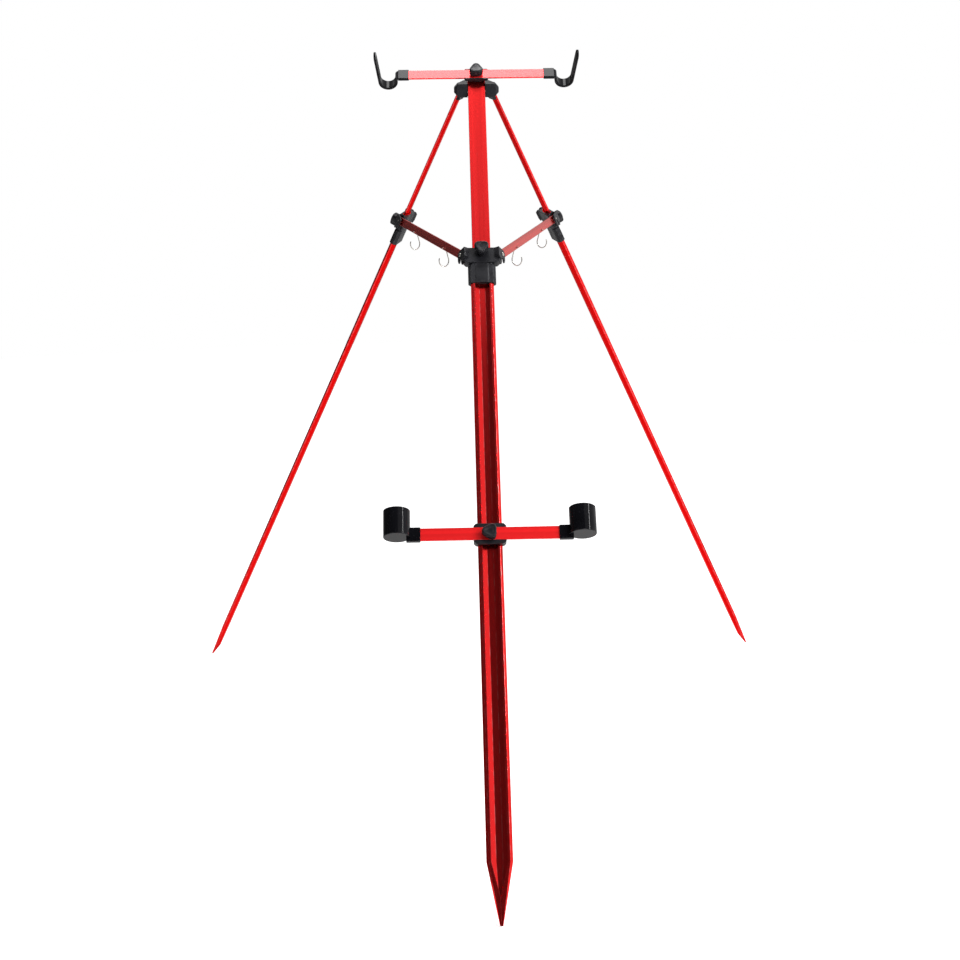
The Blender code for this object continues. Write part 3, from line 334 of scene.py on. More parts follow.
CHANNEL_RED = Anodised("bright_dipped_red", (0.85, 0.026, 0.027), 0.17, 0.97, Slot.RED)
FLAT_RED = Anodised("satin_red", (0.84, 0.014, 0.016), 0.36, 0.50, Slot.RED, tones=(0.82, 1.06), coat=0.40)
BRUSHED_RED = Anodised("brushed_red", (0.56, 0.024, 0.022), 0.33, 0.94, Slot.RED, tones=(0.70, 1.10),
                       depth=0.00008, coat=0.75, rim=(1.0, 0.6, 0.55))
BLOCK_BLACK = Moulded("satin_black", (0.008, 0.008, 0.010), 0.42, 0.0, Slot.MOULDED, scale=1500.0,
                      depth=0.00014, relief=0.5, dulling=(-0.12, 0.12), shine=0.22)
GLOSS_BLACK = Moulded("polished_black", (0.003, 0.003, 0.004), 0.10, 0.0, Slot.GLOSS, scale=900.0,
                      depth=0.00002, shine=0.10)
STEEL = Plated("plated_steel", (0.50, 0.48, 0.44), 0.24, 1.0, Slot.STEEL)
NYLON = Moulded("plain_nylon", (0.03, 0.03, 0.03), 0.55, 0.0, Slot.NYLON, Wear.NONE)


class Palette:
    """Builds each finish's material once."""

    def __init__(self) -> None:
        """Makes the shared groups and every material."""
        groups = {"drawn": pattern_group("drawn_lines", LINE_STRETCH, DRAWN_LAYERS),
                  "grain": pattern_group("moulded_grain", 1.0, MOULDED_LAYERS), "wear": wear_group()}
        finishes = (CHANNEL_RED, FLAT_RED, BRUSHED_RED, BLOCK_BLACK, GLOSS_BLACK, STEEL, NYLON)
        self.made = {item.name: item.material(groups) for item in finishes}

    def of(self, finish: Finish) -> Material:
        """Returns a finish's material."""
        return self.made[finish.name]


# ---- Mesh making


def filleted(outline: Outline, radius: float, steps: int = 3) -> Outline:
    """Rounds every corner of a closed outline.

    Args:
        outline: the outline's corners in order.
        radius: how far from a corner its rounding starts, at most.
        steps: pieces in each rounding.

    Returns:
        The rounded outline, with steps + 1 points for each corner.
    """
    rounded: Outline = []
    most = 0.45
    for i, here in enumerate(outline):
        corner = Vector(here)
        before = Vector(outline[i - 1]) - corner
        after = Vector(outline[(i + 1) % len(outline)]) - corner
        reach = min(radius, before.length * most, after.length * most)
        start = corner + before.normalized() * reach
        end = corner + after.normalized() * reach
        for t in (k / steps for k in range(steps + 1)):
            rounded.append(tuple(start * (1 - t) ** 2 + corner * (2 * t * (1 - t)) + end * t ** 2))
    return rounded


def mirrored(half: Outline) -> Outline:
    """Returns the outline whose right half is given from the middle round to the middle."""
    return half + [(-x, y) for x, y in reversed(half)]


def arc(centre: Point, radius: float, start: float, end: float, steps: int) -> Outline:
    """Returns points on a circle, from the start angle to the end angle in degrees."""
    turns = [math.radians(start + (end - start) * i / steps) for i in range(steps + 1)]
    return [(centre[0] + radius * math.cos(turn), centre[1] + radius * math.sin(turn)) for turn in turns]


def quarter(steps: int) -> Outline:
    """Returns the cosine and the sine at even steps of a right angle."""
    return arc((0.0, 0.0), 1.0, 0.0, 90.0, steps)


def circle(radius: float, sides: int, centre: Point = (0.0, 0.0)) -> Outline:
    """Returns points round a circle."""
    return arc(centre, radius, 0.0, 360.0, sides)[:-1]


def rectangle(left: float, low: float, right: float, high: float) -> Outline:
    """Returns the corners of a rectangle."""
    return [(left, low), (right, low), (right, high), (left, high)]


def taken(bm: bmesh.types.BMesh) -> Mesh:
    """Returns what a bmesh holds as a mesh, and frees it."""
    mesh = bpy.data.meshes.new("solid")
    bm.to_mesh(mesh)
    bm.free()
    return mesh


def loft(rings: list[Ring], closed: bool = False) -> Mesh:
    """Joins equal rings of points in order.

    Args:
        rings: the rings, each with the same number of points.
        closed: joins the last ring to the first in place of capping both ends.

    Returns:
        A closed mesh.
    """
    bm = bmesh.new()
    loops = [[bm.verts.new(point) for point in ring] for ring in rings]
    pairs = list(zip(loops, loops[1:]))
    if closed:
        pairs.append((loops[-1], loops[0]))
    else:
        bm.faces.new(loops[0])
        bm.faces.new(loops[-1])
    for one, two in pairs:
        for i in range(len(one)):
            j = (i + 1) % len(one)
            bm.faces.new((one[i], one[j], two[j], two[i]))
    bmesh.ops.recalc_face_normals(bm, faces=bm.faces)
    return taken(bm)


def stack(levels: list[tuple[Outline, float]], closed: bool = False) -> Mesh:
    """Returns the solid through outlines at their heights on Z."""
    return loft([[(x, y, level) for x, y in outline] for outline, level in levels], closed)


def turned(levels: list[Point], sides: int, centre: Point = (0.0, 0.0)) -> Mesh:
    """Returns a round solid along Z from its (radius, height) pairs."""
    return stack([(circle(radius, sides, centre), level) for radius, level in levels])


def prism(outline: Outline, low: float, high: float, axis: str = "Z", edge: float = 0.0) -> Mesh:
    """Extrudes an outline.

    Args:
        outline: the outline's points, on the other two axes in order.
        low: where it starts on the axis.
        high: where it ends.
        axis: X, Y or Z.
        edge: how much both end faces are drawn in over the same height, for a rounded rim.

    Returns:
        The mesh.
    """
    order = {"X": (2, 0, 1), "Y": (0, 2, 1), "Z": (0, 1, 2)}[axis]
    middle = sum(map(Vector, outline), Vector((0.0, 0.0))) / len(outline)
    reach = max((Vector(point) - middle).length for point in outline)
    rim = ROUND_RIM if edge else SQUARE_RIM
    levels = [(low + edge * rise, edge * inset) for rise, inset in rim]
    levels += [(high - edge * rise, edge * inset) for rise, inset in reversed(rim)]
    rings = []
    for level, inset in levels:
        drawn = [(*(middle + (Vector(point) - middle) * (1 - inset / reach)), level) for point in outline]
        rings.append([tuple(point[part] for part in order) for point in drawn])
    return loft(rings)


def block(low: Triple, high: Triple) -> Mesh:
    """Returns a box between two corners."""
    return prism(rectangle(low[0], low[1], high[0], high[1]), low[2], high[2])


def sweep(path: Outline, sections: list[Outline]) -> Mesh:
    """Sweeps sections along a path, with mitred corners.

    Args:
        path: the (x, z) points of the path.
        sections: an (across, deep) section for each point.

    Returns:
        The solid.
    """
    sharpest = 0.5
    rings = []
    last = len(path) - 1
    for i, (point, section) in enumerate(zip(path, sections)):
        here = Vector(point)
        after = Vector(path[min(i + 1, last)])
        into = (here - Vector(path[i - 1])).normalized() if i else (after - here).normalized()
        out = (after - here).normalized() if i < last else into
        tangent = (into + out).normalized()
        mitre = 1 / max(sharpest, tangent.dot(into))
        rings.append([(point[0] + tangent.y * across * mitre, deep, point[1] - tangent.x * across * mitre)
                      for across, deep in section])
    return loft(rings)


def link(name: str, data: ID) -> Object:
    """Adds an object that holds data to the scene."""
    item = bpy.data.objects.new(name, data)
    bpy.context.scene.collection.objects.link(item)
    return item


def evaluated(body: Object) -> Mesh:
    """Returns the mesh of an object after its modifiers, and removes the object."""
    bpy.context.view_layer.update()
    depsgraph = bpy.context.evaluated_depsgraph_get()
    mesh = bpy.data.meshes.new_from_object(body.evaluated_get(depsgraph), depsgraph=depsgraph)
    bpy.data.objects.remove(body, do_unlink=True)
    return mesh


def combine(base: Mesh, tools: list[Mesh], operation: str = "DIFFERENCE") -> Mesh:
    """Runs a Boolean with each tool in turn.

    Args:
        base: the mesh to start from.
        tools: the meshes it is combined with.
        operation: the Boolean's operation.

    Returns:
        The mesh that comes out.
    """
    body = link("body", base)
    helpers = [link("tool", tool) for tool in tools]
    for helper in helpers:
        modifier = body.modifiers.new("Boolean", "BOOLEAN")
        modifier.operation = operation
        modifier.solver = "EXACT"
        modifier.object = helper
    mesh = evaluated(body)
    for helper in helpers:
        bpy.data.objects.remove(helper, do_unlink=True)
    return mesh


def moved(mesh: Mesh, matrix: Matrix) -> Mesh:
    """Returns the mesh after a transform, turned right side out where the transform mirrors it."""
    mesh.transform(matrix)
    if matrix.determinant() < 0:
        mesh.flip_normals()
    return mesh


def joined(meshes: list[Mesh]) -> Mesh:
    """Returns one mesh that holds several."""
    bm = bmesh.new()
    for mesh in meshes:
        bm.from_mesh(mesh)
    return taken(bm)


@dataclass
class Maker:
    """Turns meshes drawn in a frame of their own into finished pieces that ride on bodies."""

    palette: Palette
    edge_width: float = 0.0007
    pieces: list[str] = field(default_factory=list)

    def piece(self, name: str, mesh: Mesh, place: Matrix, finish: Finish, body: str, node: str,
              smooth: float = 32.0, along: int = 2) -> None:
        """Finishes one piece.

        Args:
            name: the piece's name.
            mesh: its mesh, in its own frame.
            place: that frame, in the frame of the model.
            finish: the finish it gets.
            body: the body it rides on.
            node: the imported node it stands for.
            smooth: edges turned more than this, in degrees, stay sharp.
            along: which of its axes its length is on.
        """
        self.mark(mesh, along)
        moved(mesh, place)
        mesh.materials.clear()
        mesh.materials.append(self.palette.of(finish))
        mesh.polygons.foreach_set("material_index", [0] * len(mesh.polygons))
        mesh.shade_smooth()
        mesh.set_sharp_from_angle(angle=math.radians(smooth))
        item = link(name, mesh)
        item.modifiers.new("Even", "WEIGHTED_NORMAL").keep_sharp = True
        mesh = evaluated(item)
        mesh.name = name
        item = link(name, mesh)
        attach(item, body)
        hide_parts(node)
        self.pieces.append(name)
        LOG.info("%s rides on %s with %d faces", name, body, len(mesh.polygons))

    def mark(self, mesh: Mesh, along: int) -> None:
        """Writes a mesh's lay and the mask of its rounded edges.

        Args:
            mesh: the mesh, in its own frame.
            along: which of its axes its length is on.
        """
        lay = mesh.attributes.get("lay") or mesh.attributes.new("lay", "FLOAT_VECTOR", "POINT")
        order = ((along + 1) % 3, (along + 2) % 3, along)
        lay.data.foreach_set("vector", [vertex.co[part] for vertex in mesh.vertices for part in order])
        edge = mesh.attributes.get("edge") or mesh.attributes.new("edge", "FLOAT", "FACE")
        mask = []
        for polygon in mesh.polygons:
            points = [mesh.vertices[i].co for i in polygon.vertices]
            longest = max((a - b).length for a, b in zip(points, points[1:] + points[:1]))
            thin = polygon.area / longest if longest > 0 else 0.0
            mask.append(float(thin < self.edge_width and longest > self.edge_width * 2))
        edge.data.foreach_set("value", mask)

    def dress(self, finish: Finish, *nodes: str) -> None:
        """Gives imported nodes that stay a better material.

        Args:
            finish: the finish they get.
            nodes: their names.
        """
        for node in nodes:
            materials = frame["nodes"][node].data.materials
            if not materials:
                materials.append(None)
            for index in range(len(materials)):
                materials[index] = self.palette.of(finish)
            LOG.info("%s keeps its shape and gets %s", node, finish.name)


# ---- Geometry node trees


def node_tree(name: str, sockets: dict[str, tuple[str, object]]) -> tuple[NodeTree, Node]:
    """Makes a geometry node tree with a geometry, a finish and other named inputs.

    Args:
        name: the tree's name.
        sockets: the socket type and default value of each other input.

    Returns:
        The tree and its input node.
    """
    tree = bpy.data.node_groups.new(name, "GeometryNodeTree")
    tree.interface.new_socket("Geometry", in_out="INPUT", socket_type="NodeSocketGeometry")
    for label, (kind, value) in sockets.items():
        tree.interface.new_socket(label, in_out="INPUT", socket_type=kind).default_value = value
    tree.interface.new_socket("Finish", in_out="INPUT", socket_type="NodeSocketMaterial")
    tree.interface.new_socket("Geometry", in_out="OUTPUT", socket_type="NodeSocketGeometry")
    return tree, tree.nodes.new("NodeGroupInput")


def end_tree(tree: NodeTree, geometry: NodeSocket, entry: Node) -> NodeTree:
    """Ends a tree with smooth shading, Realize Instances and Set Material.

    Args:
        tree: the tree.
        geometry: the socket that the last node puts out.
        entry: the tree's input node.

    Returns:
        The tree.
    """
    shade = add_node(tree, "GeometryNodeSetShadeSmooth", {"Geometry": geometry})
    real = add_node(tree, "GeometryNodeRealizeInstances", {0: shade.outputs[0]})
    coat = add_node(tree, "GeometryNodeSetMaterial",
                    {"Geometry": real.outputs[0], "Material": entry.outputs["Finish"]})
    add_node(tree, "NodeGroupOutput", {0: coat.outputs[0]})
    return tree


def wire_tree() -> NodeTree:
    """Returns the tree that turns a path into round wire with closed ends."""
    tree, entry = node_tree("bent_wire", {"Wire radius": ("NodeSocketFloat", 0.0009),
                                          "Sides": ("NodeSocketInt", 20)})
    given = entry.outputs
    profile = add_node(tree, "GeometryNodeCurvePrimitiveCircle",
                       {"Radius": given["Wire radius"], "Resolution": given["Sides"]})
    tube = add_node(tree, "GeometryNodeCurveToMesh", {"Curve": given["Geometry"], "Fill Caps": True,
                                                      "Profile Curve": profile.outputs["Curve"]})
    return end_tree(tree, tube.outputs["Mesh"], entry)


def rib_tree() -> NodeTree:
    """Returns the tree that sets a rounded rib on each point, along its run and half sunk."""
    tree, entry = node_tree("grip_ribs", {"Rib length": ("NodeSocketFloat", 0.010),
                                          "Rib radius": ("NodeSocketFloat", 0.0005),
                                          "Segments": ("NodeSocketInt", 12)})
    given = entry.outputs
    ball = add_node(tree, "GeometryNodeMeshUVSphere",
                    {"Segments": given["Segments"], "Rings": given["Segments"], "Radius": 1.0})
    run = add_node(tree, "GeometryNodeInputNamedAttribute", {"Name": "run"}, data_type="FLOAT_VECTOR")
    turn = add_node(tree, "FunctionNodeAlignRotationToVector", {"Vector": run.outputs["Attribute"]}, axis="Z")
    size = add_node(tree, "ShaderNodeCombineXYZ", {"X": given["Rib radius"], "Y": given["Rib radius"],
                                                   "Z": calc(tree, "MULTIPLY", given["Rib length"], 0.5)})
    put = add_node(tree, "GeometryNodeInstanceOnPoints",
                   {"Points": given["Geometry"], "Instance": ball.outputs["Mesh"],
                    "Rotation": turn.outputs["Rotation"], "Scale": size.outputs[0]})
    return end_tree(tree, put.outputs["Instances"], entry)


def run_tree(data: ID, tree: NodeTree, values: dict[str, object]) -> Mesh:
    """Runs a geometry node tree on a curve or mesh.

    Args:
        data: the curve or mesh it works on.
        tree: the tree.
        values: a value for each named input.

    Returns:
        The plain mesh that comes out.
    """
    item = link("work", data)
    modifier = item.modifiers.new("Nodes", "NODES")
    modifier.node_group = tree
    for socket in tree.interface.items_tree:
        if socket.in_out == "INPUT" and socket.name in values:
            modifier[socket.identifier] = values[socket.name]
    return evaluated(item)


def path_curve(points: Ring) -> Curve:
    """Returns a curve with one straight-segment spline through the points."""
    curve = bpy.data.curves.new("path", "CURVE")
    curve.dimensions = "3D"
    spline = curve.splines.new("POLY")
    spline.points.add(len(points) - 1)
    for spot, point in zip(spline.points, points):
        spot.co = (*point, 1.0)
    return curve


# ---- Where things are


def joint(name: str) -> dict:
    """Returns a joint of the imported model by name."""
    return next(item for item in frame["joints"] if item["name"] == name)


def axes(x: Vector, y: Vector, z: Vector) -> Matrix:
    """Returns the turn that has the three vectors as its axes."""
    return Matrix((x, y, z)).transposed().to_4x4()


def framed(origin: Vector, across: Vector, outward: Vector) -> Matrix:
    """Makes a frame that looks out along -Y.

    Args:
        origin: where it is.
        across: its X, roughly.
        outward: its -Y.

    Returns:
        The frame.
    """
    y = -outward.normalized()
    z = across.normalized().cross(y).normalized()
    return Matrix.Translation(origin) @ axes(y.cross(z).normalized(), y, z)


def leg_frame(name: str) -> Matrix:
    """Returns a leg's frame at rest, from its hinge, its slide and its clamp screw."""
    up = Vector(joint(name + "_leg_slide")["axis"])
    up = -up if up.z < 0 else up
    outward = Vector(joint(name + "_knob_turn")["axis"])
    return framed(Vector(joint(name + "_leg_fold")["pos_m"]), up.cross(outward), outward)


# ---- Sub-assemblies


@dataclass
class Profile:
    """The two drawn profiles that slide in each other, and what follows from their sizes."""

    upper_width: float = 0.0320
    upper_depth: float = 0.0060
    upper_side: float = 0.0030
    upper_wall: float = 0.0012
    upper_edge: float = 0.0005
    keel_flat: float = 0.0100
    setback: float = 0.0045
    width: float = 0.0400
    wall: float = 0.0012
    lip_gap: float = 0.0007
    floor_gap: float = 0.0004
    corner_width: float = 0.0040
    corner_depth: float = 0.0030
    inner_corner: float = 0.8
    slot_width: float = 0.0250
    key_width: float = 0.0230

    @property
    def upper_front(self) -> float:
        """Where the upper leg's open side is on Y."""
        return -(self.setback + self.upper_depth)

    @property
    def lip_front(self) -> float:
        """Where the lower leg's lips are on Y."""
        return self.upper_front - self.lip_gap - self.wall

    @property
    def floor_back(self) -> float:
        """Where the lower leg's back is on Y."""
        return -self.setback + self.floor_gap + self.wall

    @property
    def slope(self) -> float:
        """How steeply the keel's sides rise."""
        return (self.upper_depth - self.upper_side) / (self.upper_width / 2 - self.keel_flat / 2)

    def upper_outline(self, grow: float = 0.0) -> Outline:
        """Returns the upper leg's section, grown on every side."""
        half = self.upper_width / 2 + grow
        front = self.upper_front - grow
        side = self.upper_front + self.upper_side + grow * self.slope
        return mirrored([(half - self.upper_edge, front), (half, front + self.upper_edge), (half, side),
                         (self.keel_flat / 2, -self.setback + grow)])

    def lower_outline(self, grow: float = 0.0) -> Outline:
        """Returns the lower leg's outside without its slot, grown on every side."""
        half = self.width / 2 + grow
        front = self.lip_front - grow
        back = self.floor_back + grow
        side = back - (half - self.keel_flat / 2) * self.slope
        return mirrored([(half - self.corner_width, front), (half, front + self.corner_depth), (half, side),
                         (self.keel_flat / 2, back)])

    def bore(self, low: float, high: float) -> Mesh:
        """Returns the cutter that lets the lower leg through and leaves a key for its slot."""
        key = self.upper_front - SEAT_GAP
        half = self.key_width / 2
        front = self.lip_front - SLIDE_GAP
        notch = [(-half, front), (-half, key), (half, key), (half, front)]
        return prism(notch[-1:] + self.lower_outline(SLIDE_GAP) + notch[:-1], low, high)


@dataclass
class Leg:
    """One telescopic leg with its spear foot, its hinge, its clamp and its sleeve."""

    name: str
    length: float
    head: float
    sleeve_height: float
    overlap: float = 0.0600
    spear_length: float = 0.0920
    spear_steps: int = 24
    seam_length: float = 0.0400
    shoulder_bend: float = 0.0020
    tip_width: float = 0.0050
    tip_depth: float = 0.0030
    tip_thinning: float = 0.0300
    tip_wall: float = 0.45
    tip_edge: float = 0.3
    seam_gap: float = 0.0003
    edge: float = 0.0006
    rim: float = 0.4
    clamp_height: float = 0.0300
    neck_height: float = 0.0030
    neck_half: float = 0.0218
    neck_relief: float = 0.0007
    sleeve_half: float = 0.0243
    sleeve_front: float = 0.0150
    sleeve_back: float = 0.0006
    sleeve_corner: float = 0.0008
    shoulder: float = 0.3
    panel_half: float = 0.0105
    panel_relief: float = 0.0012
    bevel: float = 0.0050
    ridges: int = 4
    ridge_share: float = 0.8
    ridge_radius: float = 0.00045
    ridge_sides: int = 12
    profile: Profile = field(default_factory=Profile)

    @property
    def top(self) -> float:
        """How far the lower leg's top is below the hinge pin."""
        return self.length - LOWER_LENGTH

    def channel_ring(self, level: float, half: float, slot_half: float, depth_share: float) -> Ring:
        """Draws the lower leg's rounded section.

        Args:
            level: its height.
            half: half its width.
            slot_half: half its slot's width.
            depth_share: its depth as a share of the full depth.

        Returns:
            The section's points.
        """
        p = self.profile
        scale = half / (p.width / 2)
        wall = p.wall * max(scale, self.tip_wall)
        corner_width = p.corner_width * scale
        corner_depth = p.corner_depth * depth_share
        keel = p.keel_flat / 2 * scale
        depth = (p.floor_back - p.lip_front) * depth_share
        slope = p.slope * depth_share / scale
        inside = half - wall
        outer = [(slot_half, 0.0), (half - corner_width, 0.0), (half, corner_depth),
                 (half, depth - (half - keel) * slope), (keel, depth)]
        inner = [(slot_half, wall), (half - corner_width - wall / 3, wall),
                 (inside, wall + corner_depth * p.inner_corner),
                 (inside, depth - wall - (inside - keel) * slope), (keel, depth - wall)]
        ring = mirrored(outer) + [(-x, y) for x, y in inner] + inner[::-1]
        return [(x, p.lip_front + y, level) for x, y in filleted(ring, self.edge * max(scale, self.tip_edge))]

    def lower(self) -> Mesh:
        """Returns the lipped channel drawn in to its spear point, with its top at Z = 0."""
        p = self.profile
        shoulder = LOWER_LENGTH - self.spear_length
        closing = self.spear_length - self.seam_length
        thinning = LOWER_LENGTH - self.tip_thinning
        stations = {0.0, self.edge, shoulder - self.shoulder_bend, shoulder + closing, thinning,
                    LOWER_LENGTH - self.edge, LOWER_LENGTH}
        stations |= {shoulder + self.spear_length * i / self.spear_steps for i in range(self.spear_steps)}
        rings = []
        for station in sorted(stations):
            past = max(0.0, station - shoulder)
            half = p.width / 2 + (self.tip_width - p.width) / 2 * past / self.spear_length
            slot_half = p.slot_width / 2 + (self.seam_gap - p.slot_width) / 2 * min(1.0, past / closing)
            thin = max(0.0, (station - thinning) / self.tip_thinning)
            depth_share = 1 + (self.tip_depth / (p.floor_back - p.lip_front) - 1) * thin
            rings.append(self.channel_ring(-station, half, slot_half, depth_share))
        return loft(rings)

    def upper(self) -> Mesh:
        """Returns the flat tube, open at both ends."""
        outer, drawn, inner = (filleted(self.profile.upper_outline(-inset), self.edge)
                               for inset in (0.0, self.edge * self.rim, self.profile.upper_wall))
        low = -(self.top + self.overlap)
        return stack([(outer, low), (outer, self.head - self.edge), (drawn, self.head), (inner, self.head),
                      (inner, low)], closed=True)

    def sleeve_ring(self, half: float, front: float, relief: float, level: float) -> Ring:
        """Draws one rounded ring of the sleeve.

        Args:
            half: half its width.
            front: how far its panel stands out.
            relief: how far the panel stands above the rest.
            level: its height.

        Returns:
            The ring's points.
        """
        back = self.sleeve_back
        ring = mirrored([(self.panel_half, -front), (self.panel_half + relief, -front + relief),
                         (half - self.bevel, -front + relief), (half, -front + relief + self.bevel),
                         (half, back - self.bevel), (half - self.bevel, back)])
        return [(x, y, level) for x, y in filleted(ring, self.sleeve_corner)]

    def sleeve(self) -> Mesh:
        """Returns the neck and sleeve, with the top of the neck at Z = 0."""
        waist = -self.neck_height
        foot = waist - self.sleeve_height
        neck = (self.neck_half, self.sleeve_front - self.neck_relief, self.panel_relief / 2)
        full = (self.sleeve_half, self.sleeve_front, self.panel_relief)
        drawn = (self.sleeve_half - self.edge, self.sleeve_front - self.edge, self.panel_relief)
        bands = ((neck, 0.0), (neck, waist), (drawn, waist - self.edge * self.shoulder),
                 (full, waist - self.edge), (full, foot + self.edge), (drawn, foot))
        rings = [self.sleeve_ring(*band, level) for band, level in bands]
        return combine(loft(rings), [self.profile.bore(foot - CUT_MARGIN, CUT_MARGIN)])

    def ridge_points(self) -> Mesh:
        """Returns the points that the sleeve's grip ridges stand on, on both bevelled corners."""
        bm = bmesh.new()
        run = bm.verts.layers.float_vector.new("run")
        middle = -self.neck_height - self.sleeve_height / 2
        face = -self.sleeve_front + self.panel_relief
        for i in range(self.ridges):
            way = self.bevel * (i + 0.5) / self.ridges
            for side in SIDES.values():
                spot = (side * (self.sleeve_half - self.bevel + way), face + way, middle)
                bm.verts.new(spot)[run] = UP
        return taken(bm)

    def build(self, maker: Maker, ribs: NodeTree) -> None:
        """Builds and dresses the leg's pieces.

        Args:
            maker: what finishes them.
            ribs: the tree that makes the grip ridges.
        """
        name = self.name
        axis = leg_frame(name)
        slide = axis @ Matrix.Translation((0, 0, -self.top))
        seat = slide @ Matrix.Translation((0, 0, -self.clamp_height - SEAT_GAP))
        values = {"Rib length": self.sleeve_height * self.ridge_share, "Rib radius": self.ridge_radius,
                  "Segments": self.ridge_sides, "Finish": maker.palette.of(BLOCK_BLACK)}
        sleeve = joined([self.sleeve(), run_tree(self.ridge_points(), ribs, values)])
        maker.piece(name + "_tube", self.upper(), axis, CHANNEL_RED, name + "_upper", name + "_upper_leg")
        maker.piece(name + "_channel", self.lower(), slide, CHANNEL_RED, name + "_lower", name + "_lower_leg")
        maker.piece(name + "_sleeve", sleeve, seat, BLOCK_BLACK, name + "_upper", name + "_leg_sleeve")
        maker.dress(BLOCK_BLACK, name + "_leg_clamp", name + "_leg_hinge")
        maker.dress(NYLON, name + "_slide_shoe")
        maker.dress(STEEL, name + "_clamp_stud", name + "_leg_pin")


@dataclass
class Knob:
    """A three-lobed clamping knob with a dished top, on the screw of a clamp or a saddle.

    The flank runs through shares of the radius, the skirt's height and the edge, and the hollow through
    shares of the radius and the dish.
    """

    name: str
    node: str
    joint_name: str
    body: str
    phase: float
    radius: float = 0.0118
    lobes: int = 3
    lobe: float = 0.13
    height: float = 0.0150
    skirt: float = 0.0030
    edge: float = 0.0030
    dish: float = 0.0004
    crown: float = 0.80
    crown_steps: int = 6
    sides: int = 96
    flank: tuple[Triple, ...] = ((0.66, 0.6, 0.0), (0.69, 0.75, 0.0), (0.93, 1.0, 0.0), (0.97, 1.0, 0.12),
                                 (1.0, 1.0, 0.4))
    hollow: tuple[Point, ...] = ((0.74, 0.0), (0.70, 0.5), (0.62, 1.0), (0.30, 1.0))
    smooth: float = 50.0

    def ring(self, scale: float, level: float) -> Ring:
        """Returns one rounded-triangle ring at a height above the seat."""
        ring = []
        for x, z in circle(1.0, self.sides):
            angle = math.atan2(z, x)
            radius = self.radius * scale * (1 + self.lobe * math.cos(self.lobes * (angle - self.phase)))
            ring.append((radius * x, -level, radius * z))
        return ring

    def mesh(self) -> Mesh:
        """Returns the knob's body, from its seat to its dished top."""
        levels = [(self.flank[0][0], SEAT_GAP)]
        levels += [(scale, self.skirt * up + self.edge * out) for scale, up, out in self.flank]
        levels += [(self.crown + (1 - self.crown) * x, self.height - self.edge + self.edge * y)
                   for x, y in quarter(self.crown_steps)]
        levels += [(scale, self.height - self.dish * deep) for scale, deep in self.hollow]
        return loft([self.ring(scale, level) for scale, level in levels])

    def build(self, maker: Maker, across: Vector) -> None:
        """Builds and dresses the knob, with its X roughly across."""
        data = joint(self.joint_name)
        place = framed(Vector(data["pos_m"]), across, Vector(data["axis"]))
        maker.piece(self.name, self.mesh(), place, BLOCK_BLACK, self.body, self.node, smooth=self.smooth)


